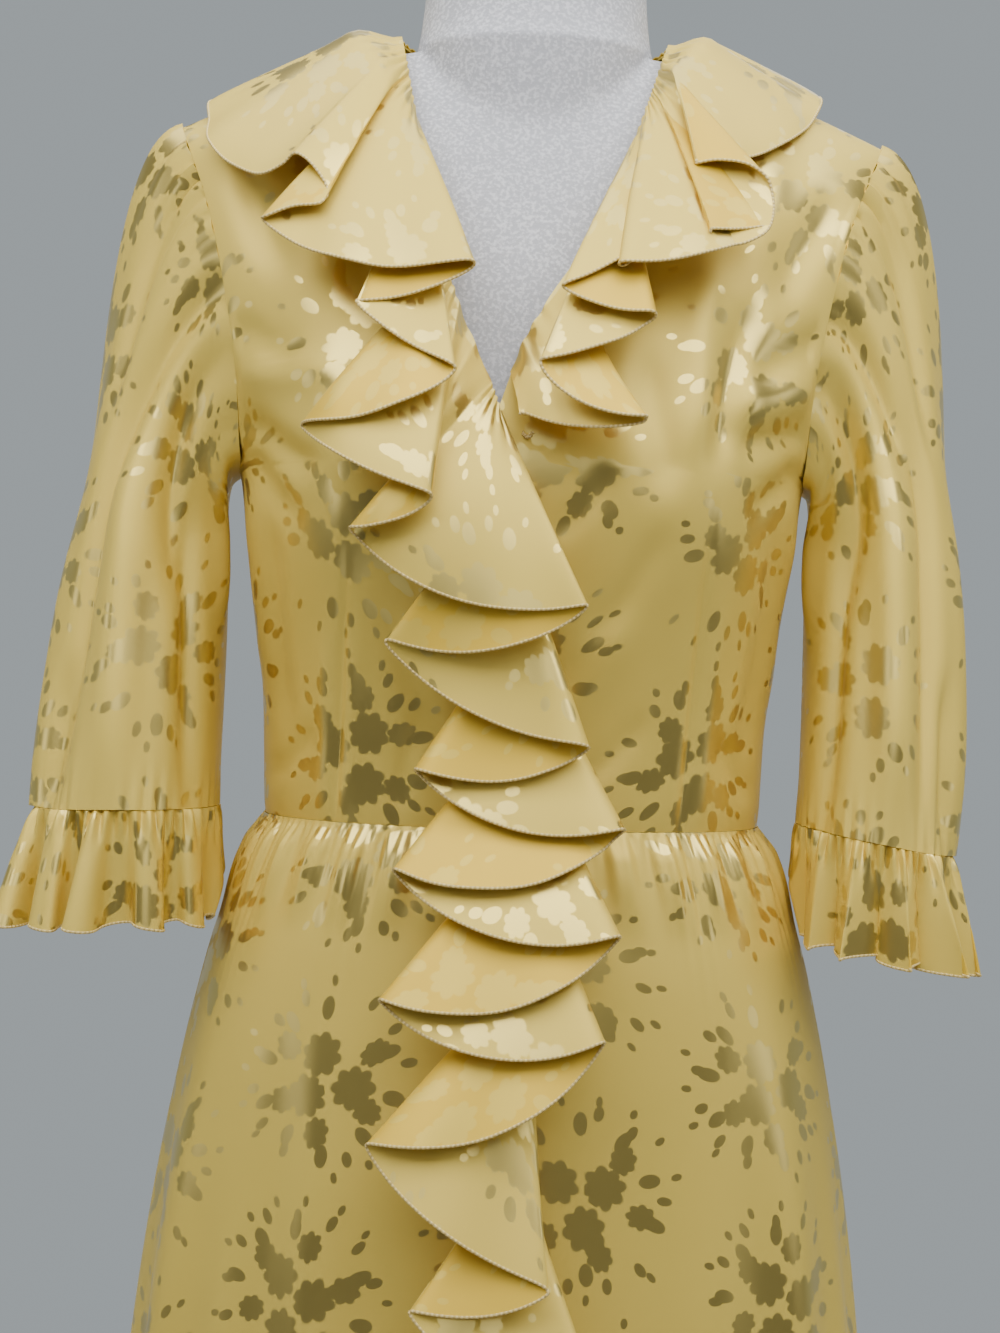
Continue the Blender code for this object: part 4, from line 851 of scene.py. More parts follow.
sleeves = {}
for side, sign in (("right", -1), ("left", 1)):
    loop, away, normals = armhole_line(sign, SLEEVE_AROUND)
    table = SLEEVE_SECTIONS[side]
    top_section, cuff_z = table[0][0], table[-1][0]
    turn = 2 * math.pi * np.arange(SLEEVE_AROUND) / SLEEVE_AROUND
    end = sleeve_section(side, top_section, turn)
    below = sleeve_section(side, top_section - SECTION_STEP, turn)
    rise = (loop[:, 2] - end[:, 2])[:, None]
    off_side = (1 - np.abs(1 - 2 * np.arange(SLEEVE_AROUND) / SLEEVE_AROUND))[:, None]
    cap = ease(CAP["begins"] * off_side)
    pull = away * cap + (normals - np.array((0.0, 0.0, 0.2))) * (1 - cap)
    loop = loop + away * ARMHOLE_OUT + normals * ARMHOLE_OFF
    (leaves, leaves_least), (meets, meets_least) = CAP["leaves"], CAP["meets"]
    swing = np.array((sign * CAP["out"], 0, CAP["up"]))
    start_pull = pull * (leaves * rise + leaves_least) + swing * cap
    end_pull = (below - end) / SECTION_STEP * (meets * rise + meets_least)
    rings = []
    for t in np.arange(CAP_RINGS) / CAP_RINGS:
        rings.append((2 * t ** 3 - 3 * t ** 2 + 1) * loop + (t ** 3 - 2 * t ** 2 + t) * start_pull
                     + (3 * t ** 2 - 2 * t ** 3) * end + (t ** 3 - t ** 2) * end_pull)
    for z in np.linspace(top_section, cuff_z + SEAM_GAP, SLEEVE_ROWS):
        ring = sleeve_section(side, z, turn)
        tilt = CUFF_TILT[side] * (top_section - z) / (top_section - cuff_z)
        ring[:, 2] -= tilt * (np.abs(ring[:, 0]) - along(table, z, 1))
        rings.append(ring)
    grid = np.swapaxes(np.array(rings[::-1]), 0, 1)
    relief = sleeve_relief(side, grid, turn)
    if side == "right":
        grid, relief = grid[::-1], relief[::-1]
    sleeves[side] = cloth(f"sleeve_{side}_cloth", grid, CLOTH_THICKNESS, SATIN, SATIN_BACK_PAINTED_GLOW,
                          closed=True, relief=relief, offset=(0.05, 0.03))
    print("sleeve", side, "faces:", len(sleeves[side].data.polygons))

# %% [markdown]
# ## The cuffs
# A cuff is a strip about twice as long as the sleeve is round, gathered into the seam, so
# its free edge swings in deep flutes. A single sine wave looks like a machine part, so the
# flutes wander: their width, depth and length change round the arm.

# %% Flutes of a cuff
CUFF = {"drop": 0.060, "wave": 0.0118, "clear": 0.007, "pinch": 0.0017, "curl": 0.0042}
CUFF_SPREAD = {"right": 0.0110, "left": 0.0115}
CUFF_AROUND, CUFF_ROWS = 624, 30
# Flutes round a cuff, from the inner side over the front: depth against the usual one, and how
# far its crest swings round the arm in metres
FLUTES = {
    "right": ((0.7, 0.002), (1.1, -0.004), (0.8, 0.003), (1.3, -0.009), (0.8, 0.003), (1.4, 0.009),
              (0.7, -0.002), (1.2, -0.007), (0.9, 0.004), (1.2, 0.007), (0.8, -0.003),
              (1.0, 0.003)),
    "left": ((0.8, -0.002), (1.1, 0.004), (1.3, -0.009), (0.7, 0.003), (1.4, 0.009), (0.8, -0.003),
             (1.1, 0.005), (1.3, -0.007), (0.7, 0.002), (1.2, 0.006), (0.9, -0.004),
             (0.8, 0.002))}


def clear_of_skirt(points, clearance):
    """Moves the points of a cuff sideways until they are clear of the skirt."""
    z, y = points[..., 2], points[..., 1]
    front, behind = along(SKIRT_SECTIONS, z, 2), along(SKIRT_SECTIONS, z, 3)
    deep = np.where(y > 0, behind, front) + clearance
    wide = along(SKIRT_SECTIONS, z) + clearance
    share = np.minimum(np.abs(y) / deep, 1.0)
    nearest = wide * (1 - share ** SECTION_POWER) ** (1 / SECTION_POWER)
    x = np.abs(points[..., 0])
    moved = np.copysign(np.maximum(x, nearest), points[..., 0])
    return np.stack((np.where(z > WAIST_Z, points[..., 0], moved), y, z), -1)


cuffs, cuff_edges = {}, {}
for side in ("right", "left"):
    table = SLEEVE_SECTIONS[side]
    cuff_z = table[-1][0]
    turn = 2 * math.pi * np.arange(CUFF_AROUND) / CUFF_AROUND
    top = sleeve_section(side, cuff_z, turn)
    middle = np.array((math.copysign(table[-1][1], top[0, 0]), table[-1][2], cuff_z))
    outward = (top - middle) / np.linalg.norm(top - middle, axis=1, keepdims=True)
    sideways = np.stack((-outward[:, 1], outward[:, 0], 0 * turn), 1)
    free = (1 - np.cos(turn)) / 2
    flutes = np.array(FLUTES[side])
    phase = len(flutes) * turn + 0.55 * np.sin(3 * turn + 1) + 0.3 * np.sin(7 * turn)
    place = (phase / (2 * math.pi) - 0.25) % len(flutes)
    depth, swing = (np.interp(place, np.arange(len(flutes)), column, period=len(flutes))
                    for column in flutes.T)
    crest = (1 + np.sin(phase)) / 2
    rows = []
    for w in np.linspace(0, 1, CUFF_ROWS):
        wave_size = CUFF["wave"] * (0.45 + 0.55 * free) * depth
        flare = CUFF_SPREAD[side] * (0.35 + 0.65 * free) * w ** 0.8
        point = top + outward * (flare + wave_size * np.sin(phase) * w ** 0.65)[:, None]
        lean = swing * crest * w ** 1.2 + CUFF["curl"] * np.sin(2 * phase) * w
        point += sideways * (lean * (0.3 + 0.7 * free))[:, None]
        point[:, 2] -= CUFF["drop"] * w * (1 + 0.035 * np.sin(phase + 0.8)) + SEAM_GAP
        point[:, 2] -= CUFF_TILT[side] * (np.abs(top[:, 0]) - table[-1][1])
        pinch = CUFF["pinch"] * math.exp(-((w - 0.05) / 0.20) ** 2) * np.sin(4 * phase + turn)
        rows.append(clear_of_skirt(point + outward * pinch[:, None], CUFF["clear"]))
    grid = np.swapaxes(np.array(rows[::-1]), 0, 1)
    if side == "right":
        grid = grid[::-1]
    cuffs[side] = cloth(f"cuff_{side}_cloth", grid, FLOUNCE_THICKNESS, SATIN, SATIN_BACK_PAINTED_GLOW,
                        closed=True, offset=(0.02, 0.04), measure=strip_measure)
    cuff_edges[side] = stitched_edge(f"cuff_{side}_edge", grid[:, 0], EDGE_RADIUS,
                                      thread_material, closed=True)
    print("cuff", side, "edge points:", CUFF_AROUND)

# %% [markdown]
# ## The flounces
# A flounce is cut as rings of cloth, slit and joined end to end, and only its inner edge is
# sewn. Straightened along the neck and the front edge, the outer edge is far too long, so it
# falls in folds that double back and lie over each other like shingles. The tables give the
# corners where it turns. Between two corners every line from the seam to the free edge is
# straight, because the cloth bends but hardly stretches, and each layer stands a little
# further off the dress than the one below it.

# %% Measures of the flounces
SEAM_STAND, COLLAR_SEAM_STAND = 0.0026, 0.0024
FLOUNCE_KICK, FLOUNCE_KICK_DROP, FLOUNCE_SLOPE = 0.009, 0.016, 0.30
FLOUNCE_ROLL, FULL_ROLL_WIDTH, SEAM_EASE = 0.0034, 0.080, 0.5
COLLAR_BULGE, COLLAR_SETTLES, BACK_NECK_SHARE = 0.017, 0.31, 0.29
CHEST_HALF, CHEST_Z = (0.205, 0.105, 0.150), 1.33
COLLAR_STEPS, FOLD_COLUMNS, FLOUNCE_ROWS = 12, 28, 22
FRONT_ALLOWANCE = ((1.100, 0.0), (1.075, 0.0010), (1.050, 0.0034), (1.025, 0.0050), (0.980, 0.0062),
                   (0.900, 0.0085), (0.700, 0.0100), (0.350, 0.0105))
# Share of the way along the neck edge, then the free edge's distance from the middle, depth, height
COLLAR_RIGHT = (
    (0.000, 0.000, 0.122, 1.385), (0.070, 0.046, 0.130, 1.378), (0.130, 0.084, 0.117, 1.398),
    (0.180, 0.128, 0.102, 1.408), (0.230, 0.152, 0.062, 1.446), (0.270, 0.182, 0.018, 1.452),
    (0.295, 0.180, -0.018, 1.434), (0.312, 0.175, -0.042, 1.414), (0.328, 0.158, -0.064, 1.396),
    (0.338, 0.140, -0.080, 1.388), (0.345, 0.128, -0.090, 1.392), (0.351, 0.122, -0.103, 1.396),
    (0.357, 0.113, -0.114, 1.389), (0.363, 0.105, -0.115, 1.377), (0.369, 0.107, -0.107, 1.368),
    (0.376, 0.122, -0.105, 1.366), (0.385, 0.138, -0.116, 1.361))
COLLAR_LEFT = (
    (0.000, 0.000, 0.122, 1.385), (0.070, 0.040, 0.120, 1.392), (0.130, 0.088, 0.125, 1.388),
    (0.180, 0.120, 0.092, 1.424), (0.225, 0.152, 0.062, 1.444), (0.262, 0.163, 0.018, 1.464),
    (0.285, 0.160, -0.010, 1.452), (0.305, 0.150, -0.034, 1.434), (0.322, 0.132, -0.054, 1.418),
    (0.336, 0.112, -0.070, 1.407), (0.345, 0.091, -0.086, 1.401), (0.352, 0.083, -0.099, 1.399),
    (0.359, 0.096, -0.108, 1.401), (0.366, 0.112, -0.113, 1.398), (0.373, 0.122, -0.116, 1.388),
    (0.380, 0.125, -0.118, 1.374), (0.387, 0.119, -0.118, 1.360), (0.392, 0.105, -0.113, 1.354),
    (0.397, 0.091, -0.105, 1.358), (0.401, 0.100, -0.106, 1.360), (0.405, 0.120, -0.120, 1.364))
# Corners of the hanging folds: height of the seam above, then the corner's place and height
FOLDS_RIGHT = ((1.453, -0.138, 1.361),
               (1.425, -0.029, 1.336), (1.403, -0.088, 1.316), (1.374, -0.035, 1.281),
               (1.342, -0.112, 1.252), (1.320, -0.046, 1.217), (1.278, -0.083, 1.197),
               (1.261, 0.034, 1.166), (1.235, -0.067, 1.146), (1.190, 0.035, 1.094),
               (1.165, -0.048, 1.080), (1.140, 0.054, 1.053), (1.115, -0.057, 1.030),
               (1.087, 0.053, 1.001), (1.055, -0.062, 0.967), (1.030, 0.047, 0.950),
               (0.985, -0.067, 0.898), (0.930, 0.026, 0.833), (0.905, -0.044, 0.821),
               (0.866, 0.052, 0.776), (0.834, -0.050, 0.748), (0.796, 0.058, 0.708),
               (0.760, -0.048, 0.674), (0.722, 0.060, 0.634), (0.686, -0.052, 0.600),
               (0.648, 0.064, 0.562), (0.612, -0.050, 0.526), (0.574, 0.066, 0.488),
               (0.538, -0.052, 0.452), (0.500, 0.068, 0.414), (0.464, -0.050, 0.380),
               (0.440, 0.040, 0.356))
FOLDS_LEFT = ((1.447, 0.120, 1.364),
              (1.436, 0.046, 1.338), (1.430, 0.057, 1.350), (1.418, 0.016, 1.326),
              (1.395, 0.062, 1.312), (1.384, 0.006, 1.287),
              (1.322, 0.060, 1.258), (1.284, -0.004, 1.262))


# %% Where the dress lies behind a flounce
def front_y(x, z):
    """The depth of the dress's front at a place."""
    x, z = np.broadcast_arrays(np.asarray(x, float), np.asarray(z, float))
    upper = bodice_point(section_angle(x, z), level_of(z, x), over=True)[..., 1]
    low_z = np.clip(z, HEM_Z, WAIST_Z)
    lower = skirt_base(section_angle(x, low_z, SKIRT_SECTIONS), low_z, False, True)[..., 1]
    return np.where(z >= WAIST_Z, upper, lower) - along(FRONT_ALLOWANCE, z)


def hanging_stand(drop):
    """How far a hanging flounce stands off the dress, so far below its seam."""
    kick = FLOUNCE_KICK * (1 - np.exp(-drop / FLOUNCE_KICK_DROP))
    return SEAM_STAND + FLOUNCE_SLOPE * drop + kick


def outward_at(point):
    """The direction away from the middle of the chest, shoulders and back."""
    gradient = (point - np.array((0.0, 0.0, CHEST_Z))) / np.array(CHEST_HALF) ** 2
    return gradient / np.linalg.norm(gradient)


def neck_edge(side, share):
    """A point of the neck edge, from the middle of the back over the shoulder to the crossing."""
    sign = -1 if side == "right" else 1
    if share < BACK_NECK_SHARE:
        x = sign * SIDE_NECK[0] * math.sin(share / BACK_NECK_SHARE * math.pi / 2)
        return np.array((x, float(seam_y(x, True)), float(top_z(x, True))))
    front_share = (share - BACK_NECK_SHARE) / (1 - BACK_NECK_SHARE)
    z = SIDE_NECK[1] + (CROSSING_Z - SIDE_NECK[1]) * front_share
    x = float(along(OVER_EDGE if side == "right" else UNDER_EDGE, z))
    return np.array((x, float(front_y(x, min(z, SIDE_NECK[1] - STEP))), z))


# %% The part round the neck
widths = np.linspace(0.0, 1.0, FLOUNCE_ROWS)


def collar_columns(side):
    """Columns of the flounce from the middle of the back, over the shoulder and down the chest."""
    sign = -1 if side == "right" else 1
    keys = COLLAR_RIGHT if side == "right" else COLLAR_LEFT
    last = keys[-1][0]
    columns = []
    for k in range(len(keys) - 1):
        for i in range(COLLAR_STEPS):
            share = keys[k][0] + (keys[k + 1][0] - keys[k][0]) * i / COLLAR_STEPS
            seam = neck_edge(side, share)
            edge = np.array([float(along(keys, share, axis)) for axis in (1, 2, 3)])
            edge[0] *= sign
            if share == 0:
                seam[0] += sign * SEAM_GAP
                edge[0] += sign * SEAM_GAP
            middle = outward_at((seam + edge) / 2)
            settled = float(ease((share - COLLAR_SETTLES) / (last - COLLAR_SETTLES)))
            w = widths[:, None]
            stand = COLLAR_SEAM_STAND * (1 - w) + COLLAR_BULGE * ease(w / 0.24) * (1 - w) ** 0.8
            flat = seam + (edge - seam) * w
            points = flat + (outward_at(seam) * (1 - w) + middle * w) * stand
            if settled > 0:
                hung = flat.copy()
                hung[:, 1] = front_y(flat[:, 0], flat[:, 2]) - hanging_stand(seam[2] - flat[:, 2])
                points += (hung - points) * settled
            columns.append(points)
    return columns


# %% The part that hangs down the front
def crease_slant(turns, k, seam_x):
    """How far a fold's crease runs ahead of its corner, because the seam moves on meanwhile."""
    before, after = turns[max(k - 1, 0)], turns[min(k + 1, len(turns) - 1)]
    spans = (k > 0) + (k < len(turns) - 1)
    across = (seam_x(after[0]) - seam_x(before[0])) / spans
    down = (after[0] - before[0]) / spans
    seam_z, width, lean = turns[k]
    sideways = (1 - SEAM_EASE) * (across * math.cos(lean) + down * math.sin(lean))
    swing = max(abs(before[2] - lean), abs(after[2] - lean))
    sense = 1 if (after[2] + before[2]) / 2 > lean else -1
    return -sense * sideways / (width * swing * math.pi ** 2 / 2)


def hanging_columns(side):
    """Columns of the flounce below, which hangs from a steep edge and doubles back."""
    keys = FOLDS_RIGHT if side == "right" else FOLDS_LEFT

    def seam_x(z):
        if z < WAIST_Z:
            return float(along(SKIRT_OVER_EDGE, z))
        return float(along(OVER_EDGE if side == "right" else UNDER_EDGE, z))

    turns = []
    for seam_z, x, z in keys:
        across, down = x - seam_x(seam_z), seam_z - z
        turns.append((seam_z, math.hypot(across, down), math.atan2(across, down)))
    slants = [crease_slant(turns, k, seam_x) for k in range(len(turns))]
    columns = []
    for k in range(len(turns) - 1):
        steps = list(np.arange(FOLD_COLUMNS) / FOLD_COLUMNS)
        if k == len(turns) - 2:
            steps.append(1.0)
        for t in steps:
            turned = (1 - math.cos(math.pi * t)) / 2
            sewn = t + (turned - t) * SEAM_EASE
            seam_z = turns[k][0] + (turns[k + 1][0] - turns[k][0]) * sewn
            width = turns[k][1] + (turns[k + 1][1] - turns[k][1]) * turned
            lean = turns[k][2] + (turns[k + 1][2] - turns[k][2]) * turned
            after, slant = (t, slants[k]) if t < 0.5 else (t - 1, slants[k + 1])
            x = seam_x(seam_z) + width * widths * math.sin(lean)
            z = seam_z - width * widths * math.cos(lean)
            turn = after - np.clip(slant / np.maximum(widths, 0.1), -0.2, 0.2)
            roll = FLOUNCE_ROLL * (0.3 + 0.7 * widths) * min(width / FULL_ROLL_WIDTH, 1.0)
            stand = hanging_stand(seam_z - z)
            stand -= roll * np.sin(2 * math.pi * turn) * np.cos(math.pi * turn) ** 2
            columns.append(np.stack((x, front_y(x, z) - stand, z), -1))
    return columns


# %% Both flounces and their stitched edges
FLUTTER, RIPPLE, SEAM_PUCKER = 0.0009, 0.0019, 0.0006


def wandering_wave(length, wave, swing, over):
    """A wave along an edge that keeps changing its length, so it never looks like a machine's."""
    return np.sin(length / wave + swing * np.sin(length / over))[:, None]


flounces, flounce_edges = {}, {}
for side in ("right", "left"):
    grid = np.array(collar_columns(side) + hanging_columns(side))
    length = np.concatenate(((0,), np.cumsum(np.linalg.norm(np.diff(grid[:, -1], axis=0), axis=1))))
    flutter = FLUTTER * wandering_wave(length, 0.0105, 1.3, 0.043)
    relief = flutter * widths[None] ** 3 * ease((widths[None] - 0.2) / 0.6)
    ripple = wandering_wave(length, 0.031, 2.1, 0.19)
    relief = relief + RIPPLE * ripple * ease(widths[None] / 0.7)
    pucker = wandering_wave(length, 0.0046, 1.5, 0.05)
    relief = relief + SEAM_PUCKER * pucker * np.exp(-(widths[None] / 0.16) ** 2)
    if side == "right":
        grid, relief = grid[::-1], relief[::-1]
    flounces[side] = cloth(f"flounce_{side}_cloth", grid, FLOUNCE_THICKNESS, SATIN, SATIN_BACK_PAINTED_GLOW,
                           relief=relief, offset=(0.04, 0.01), measure=ring_measure)
    edge = grid[:, -1] + grid_normals(grid)[:, -1] * relief[:, -1:]
    flounce_edges[side] = stitched_edge(f"flounce_{side}_edge", edge, EDGE_RADIUS, thread_material)
    print("flounce", side, "free edge in metres:", round(float(length[-1]), 2),
          "faces:", len(flounces[side].data.polygons))

# %% [markdown]
# ## The form and its stand
# The stand keeps its own solids, which are turned shapes already. The form gets a finer skin of
# its own: the torso just inside the dress, and a neck that flares softly into the shoulders in
# front, where no cloth lies against it. A subdivision surface could round the coarse solid, but
# rings worked out from the same measures follow the dress more closely. The covering has small
# flecks, and the stand is painted.

# %% Rings of the form
FORM_BOTTOM_Z, FORM_TOP_Z, NECK_HALF = 0.820, 1.560, (0.0605, 0.0435)
FORM_INSET_HIP, FORM_INSET, FORM_SHOULDER_INSET, FORM_ARM_INSET = 0.0125, 0.0060, 0.0010, 0.0055
FORM_DROP, FORM_BACK_DROP, FORM_CORNER, BLEND_POWER = 0.0012, 0.0095, 5, 24
# The neck flares in front, where no cloth lies. Behind, the collar lies about 3 mm off the form,
# so the flare ends there
NECK_FLARE_FRONT, NECK_FLARE_SIDE, FLARE_ENDS_BEHIND = 0.0180, 0.0060, 0.38
NECK_FLARE_FROM, NECK_FLARE_OVER = 1.476, 0.026
NECK_JOINS_FROM, NECK_JOINS_OVER, TORSO_ENDS_BELOW = 1.36, 0.07, 0.008
HIP_INSET_ENDS_Z, FORM_SQUARENESS = 1.0, 0.8
SPOKES = 2 * math.pi * np.arange(240) / 240


def torso_reach(z, turns):
    """How far the torso reaches from its middle at a height, for bearings right round it."""
    to_waist = float(ease((z - HIP_INSET_ENDS_Z) / (WAIST_Z - HIP_INSET_ENDS_Z)))
    inset = FORM_INSET_HIP + (FORM_INSET - FORM_INSET_HIP) * to_waist
    above = z + FORM_DROP
    slope = (SHOULDER_TIP[0] - SIDE_NECK[0]) / (SIDE_NECK[1] - SHOULDER_TIP[1])
    if z > UNDERARM_Z:
        ridge = SIDE_NECK[0] + (SIDE_NECK[1] - above) * slope - FORM_SHOULDER_INSET
        half = min(ridge, float(along(ARMHOLE_FRONT, above)) - FORM_ARM_INSET)
    else:
        half = float(along(BODICE_SECTIONS if z > WAIST_Z else SKIRT_SECTIONS, z)) - inset
    angles = 2 * math.pi * np.arange(360) / 360
    x = half * np.copysign(np.abs(np.cos(angles)) ** FORM_SQUARENESS, np.cos(angles))
    corner = (1 - np.minimum(np.abs(x) / half, 1.0) ** FORM_CORNER) ** (1 / FORM_CORNER)
    y = np.zeros(x.shape)
    for back in (False, True):
        part = (np.sin(angles) > 0) == back
        if z > WAIST_Z:
            near_neck = ease((0.11 - np.abs(x[part])) / 0.03) if back and z > UNDERARM_Z else 0.0
            at = above + FORM_BACK_DROP * near_neck + 0 * x[part]
            level = level_of(at, x[part], back)
            y[part] = bodice_point(section_angle(x[part], at), level, back)[..., 1]
        else:
            turn = section_angle(x[part], z, SKIRT_SECTIONS)
            y[part] = skirt_base(turn, z, back)[..., 1]
    y = SHOULDER_SEAM_Y + (y - SHOULDER_SEAM_Y) * corner
    off = y - SHOULDER_SEAM_Y
    y = y - np.copysign(np.minimum(inset, np.abs(off)), off)
    bearings = np.unwrap(np.arctan2(y - SHOULDER_SEAM_Y, x))
    order = np.argsort(bearings)
    reach = np.hypot(x, y - SHOULDER_SEAM_Y)
    return np.interp(turns, bearings[order], reach[order], period=2 * math.pi)


def form_skin(name, material):
    """The torso, the neck and their closed ends as one smooth surface."""
    heights = np.concatenate(((FORM_BOTTOM_Z,), np.linspace(FORM_BOTTOM_Z + 0.003, 1.40, 50),
                              np.linspace(1.402, 1.500, 50), np.linspace(1.504, FORM_TOP_Z, 16)))
    rings = []
    for z in heights:
        flare = math.exp(-max(z - NECK_FLARE_FROM, 0.0) / NECK_FLARE_OVER)
        behind = np.sin(SPOKES)
        in_front = NECK_FLARE_SIDE + (NECK_FLARE_FRONT - NECK_FLARE_SIDE) * ease(-behind)
        spread = in_front * (1 - ease(behind / FLARE_ENDS_BEHIND))
        neck = 1 / np.hypot(np.cos(SPOKES) / NECK_HALF[0], behind / NECK_HALF[1]) + spread * flare
        reach = neck
        if z + FORM_DROP < SIDE_NECK[1] - TORSO_ENDS_BELOW:
            torso = torso_reach(z, SPOKES)
            part = neck * ease((z - NECK_JOINS_FROM) / NECK_JOINS_OVER)
            reach = (torso ** BLEND_POWER + part ** BLEND_POWER) ** (1 / BLEND_POWER)
        rings.append(np.stack((reach * np.cos(SPOKES), SHOULDER_SEAM_Y + reach * np.sin(SPOKES),
                               np.full(len(SPOKES), z)), -1))
    rim = rings[0].copy()
    rim[:, :2] = rim[:, :2] * 0.99 + np.array((0.0, SHOULDER_SEAM_Y)) * 0.01
    grid = np.array([rim] + rings[1:])
    count, around = grid.shape[:2]
    number = np.arange(count * around).reshape(count, around)
    wrapped = np.concatenate((number, number[:, :1]), 1)
    faces = np.stack((wrapped[:-1, :-1], wrapped[:-1, 1:], wrapped[1:, 1:], wrapped[1:, :-1]), -1)
    mesh = bpy.data.meshes.new(name)
    mesh.from_pydata(grid.reshape(-1, 3).tolist(), [], faces.reshape(-1, 4).tolist()
                     + [number[0][::-1].tolist(), number[-1].tolist()])
    mesh.materials.append(material)
    mesh.shade_smooth()
    mesh.set_sharp_from_angle(angle=SHARP_ANGLE)
    return in_scene(name, mesh)


# %% Covering and paint
def flecked(name, base, fleck, grain, roughness, depth):
    """A surface with small flecks and a fine grain."""
    material, tree, shader = new_material(name)
    place = tree.nodes.new("ShaderNodeTexCoord").outputs["Object"]
    fine = soft_noise(tree, 1 / grain, 3.0, place).outputs[0]
    broad = soft_noise(tree, 1 / (60 * grain), 2.0, place).outputs[0]
    spots = ramp(tree, fine, 0.46, 0.62, 0.0, 1.0, "LINEAR")
    mixed = blend_colour(tree, spots, base, fleck)
    shade = tuple(0.94 * c for c in base)
    tree.links.new(blend_colour(tree, calc(tree, "MULTIPLY", broad, 0.5), mixed, shade),
                   shader.inputs["Base Color"])
    shader.inputs["Roughness"].default_value = roughness
    fine_relief(tree, shader, fine, depth)
    return material


covering = flecked("pale flecked covering", (0.42, 0.43, 0.47), (0.66, 0.67, 0.71),
                   grain=0.0020, roughness=0.85, depth=0.0003)
paint = flecked("grey paint", (0.42, 0.42, 0.44), (0.50, 0.50, 0.52),
                grain=0.0012, roughness=0.42, depth=0.00005)
form = form_skin("form_skin", covering)
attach(form, "root")
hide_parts("form_body")
for node in ("form_pole", "form_base"):
    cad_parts[node].material_slots[0].material = paint
print("faces of the form:", len(form.data.polygons))

# %% [markdown]
# ## The thread bar at the crossing
# Such a wrap is held by a hook that catches a short bar of thread. The hook would be hidden under
# the flounce, so it isn't made; the bar shows beside the crossing. It is a small tube that sags a
# little and wavers, as hand-wound thread does, in the same thread as the stitched edges.

# %% Thread bar
BAR_X, BAR_Z, BAR_LENGTH, BAR_STAND = 0.0015, 1.2535, 0.0052, 0.0022
steps = np.linspace(0.0, 1.0, 90)
bar_x = BAR_X + BAR_LENGTH * (steps - 0.5) + 0.0006 * np.sin(40 * steps)
bar_z = BAR_Z - 0.0022 * np.sin(math.pi * steps) + 0.0007 * np.cos(40 * steps)
bar_y = front_y(bar_x, bar_z) + BAR_STAND - 0.0010 * np.sin(math.pi * steps)
thread_bar = stitched_edge("thread_bar", np.stack((bar_x, bar_y, bar_z), -1), BAR_RADIUS,
                           thread_material)
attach(thread_bar, "root")
print("thread bar:", len(steps), "points")

# %% [markdown]
# ## The cut of each piece
# Before it is sewn, each piece is flat cloth. Here only the flounces get a cut: the length of
# the sewn edge and the width, from which the rings they are cut as give the free edge and the
# area. Each sheet and its stitched edges then hang from the root, and the solid in its place is
# hidden.

# %% Cutting table
# The sewn edge of each flounce and its width, in metres
FLOUNCE_SEAM = {"right": 1.204, "left": 0.360}
FLOUNCE_CUT_WIDTH = {"right": 0.100, "left": 0.085}


def cut_from_rings(seam, width):
    """The same for a flounce cut as rings: its free edge, its width and its area."""
    turn, outer = seam / RING_RADIUS, RING_RADIUS + width
    return turn * outer, width, turn * (outer ** 2 - RING_RADIUS ** 2) / 2


# %% Putting the pieces in place
def cut(sheet, node, edges=()):
    """Hangs a sheet and its stitched edges from the root, and hides the solid of its node."""
    for piece in (sheet, *edges):
        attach(piece, "root")
    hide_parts(node)


for name, sheet in bodice.items():
    node = name.removesuffix("_cloth")
    cut(sheet, node)
for name, sheet in skirt.items():
    node = name.removesuffix("_cloth")
    cut(sheet, node)
for side in ("right", "left"):
    cut(sleeves[side], f"sleeve_{side}")
    cut(cuffs[side], f"cuff_{side}",
        [cuff_edges[side]])
    rings = cut_from_rings(FLOUNCE_SEAM[side], FLOUNCE_CUT_WIDTH[side])
    cut(flounces[side], f"flounce_{side}",
        [flounce_edges[side]])

# %% [markdown]
# ## Floor, light and camera
# A pale floor, which lies below the picture, and large soft lights. The strongest is above and in
# front, like a window, and one hangs overhead, so the shoulders and the upper chest catch them. A
# weak one fills from the front, and one at each side and one behind show the dress's edges. The
# surroundings are pale behind the dress, as a backdrop, and dim in front of it, which is what the
# metallic threads reflect and why the motif looks dark on the parts that face forwards. The
# camera stands level with the bust, close to the dress, and leans by under two degrees.

# %% Floor
FLOOR_HALF, FLOOR_BACK = 2.5, 2.6
floor_mesh = bpy.data.meshes.new("floor")
floor_mesh.from_pydata([(-FLOOR_HALF, -FLOOR_HALF, 0), (FLOOR_HALF, -FLOOR_HALF, 0),
                        (FLOOR_HALF, FLOOR_BACK, 0), (-FLOOR_HALF, FLOOR_BACK, 0)],
                       [], [(0, 1, 2, 3)])
floor = in_scene("floor", floor_mesh)
floor_mesh.materials.append(flecked("pale floor", (0.62, 0.63, 0.65), (0.66, 0.67, 0.69),
                                    grain=0.010, roughness=0.8, depth=0.0002))
print("floor from", -FLOOR_HALF, "to", FLOOR_BACK, "metres")

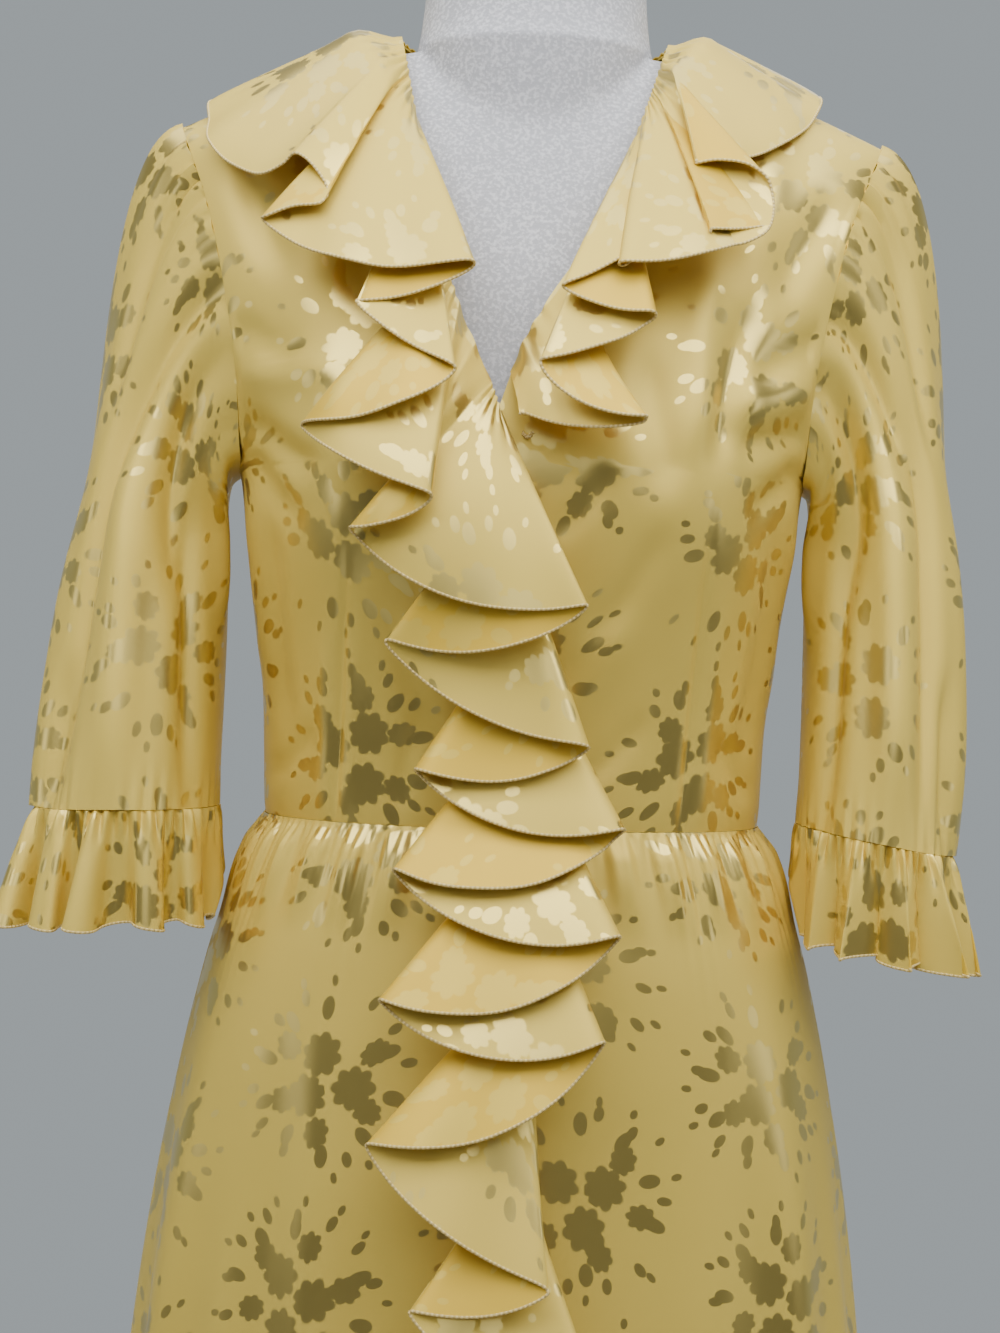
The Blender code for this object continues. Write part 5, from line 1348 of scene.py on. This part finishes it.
# %% Surroundings
DIM, PALE, SURROUNDINGS_STRENGTH = (0.150, 0.155, 0.165), (0.60, 0.66, 0.69), 0.58
world = bpy.data.worlds.new("soft studio")
bpy.context.scene.world = world
world.use_nodes = True
sky = world.node_tree
direction, parts = sky.nodes.new("ShaderNodeTexCoord"), sky.nodes.new("ShaderNodeSeparateXYZ")
sky.links.new(direction.outputs["Generated"], parts.inputs[0])
level_band = ramp(sky, calc(sky, "ABSOLUTE", parts.outputs[2]), 0.25, 0.60, 1.0, 0.0)
behind = ramp(sky, parts.outputs[1], -0.15, 0.55, 0.0, 1.0)
sky.links.new(blend_colour(sky, calc(sky, "MULTIPLY", level_band, behind), DIM, PALE),
              sky.nodes["Background"].inputs["Color"])
sky.nodes["Background"].inputs["Strength"].default_value = SURROUNDINGS_STRENGTH
print("surroundings:", len(sky.nodes), "nodes")


# %% Lights
def soft_light(name, place, aim, size, power, colour):
    """A soft light, so wide and so deep, aimed at a point."""
    data = bpy.data.lights.new(name, "AREA")
    data.shape = "RECTANGLE"
    data.size, data.size_y = size
    data.energy, data.color = power, colour
    turn = (Vector(aim) - Vector(place)).to_track_quat("-Z", "Y")
    in_scene(name, data).matrix_world = Matrix.Translation(place) @ turn.to_matrix().to_4x4()


# Name, place, the point it is aimed at, size, watts and colour
LIGHTS = (
    ("window above", (0.05, -0.95, 2.35), (0.0, 0.0, 1.36), (3.4, 1.15), 52.0, (1.0, 0.99, 0.97)),
    ("ceiling light", (0.0, 0.05, 2.60), (0.0, 0.0, 1.40), (2.6, 1.5), 31.0, (1.0, 1.0, 0.98)),
    ("front fill", (0.25, -2.4, 2.0), (0.0, 0.0, 1.20), (1.4, 1.0), 6.0, (1.0, 1.0, 0.98)),
    ("left side light", (-2.2, -0.5, 1.5), (0.0, 0.0, 1.15), (0.7, 1.2), 4.5, (1.0, 1.0, 1.0)),
    ("right side light", (2.2, -0.5, 1.5), (0.0, 0.0, 1.15), (0.7, 1.2), 4.5, (1.0, 1.0, 1.0)),
    ("back light", (0.3, 2.4, 2.4), (0.0, 0.0, 1.10), (1.6, 1.6), 14.0, (1.0, 1.0, 1.0)),
)
for light in LIGHTS:
    soft_light(*light)
print("lights:", len(LIGHTS), "watts in all:", sum(light[4] for light in LIGHTS))

# %% Camera
CAMERA_PLACE, LENS, FILM, LEAN = (-0.0087, -1.35, 1.134), 65.1, 36.0, math.radians(1.8)
camera_data = bpy.data.cameras.new("camera")
camera_data.lens, camera_data.sensor_fit = LENS, "VERTICAL"
camera_data.sensor_height = camera_data.sensor_width = FILM
camera = in_scene("camera", camera_data)
camera.matrix_world = (Matrix.Translation(CAMERA_PLACE) @ Matrix.Rotation(math.pi / 2, 4, "X")
                       @ Matrix.Rotation(LEAN, 4, "Z"))
bpy.context.scene.camera = camera
print("camera", CAMERA_PLACE, "lens", LENS, "mm")


bpy.context.view_layer.update()
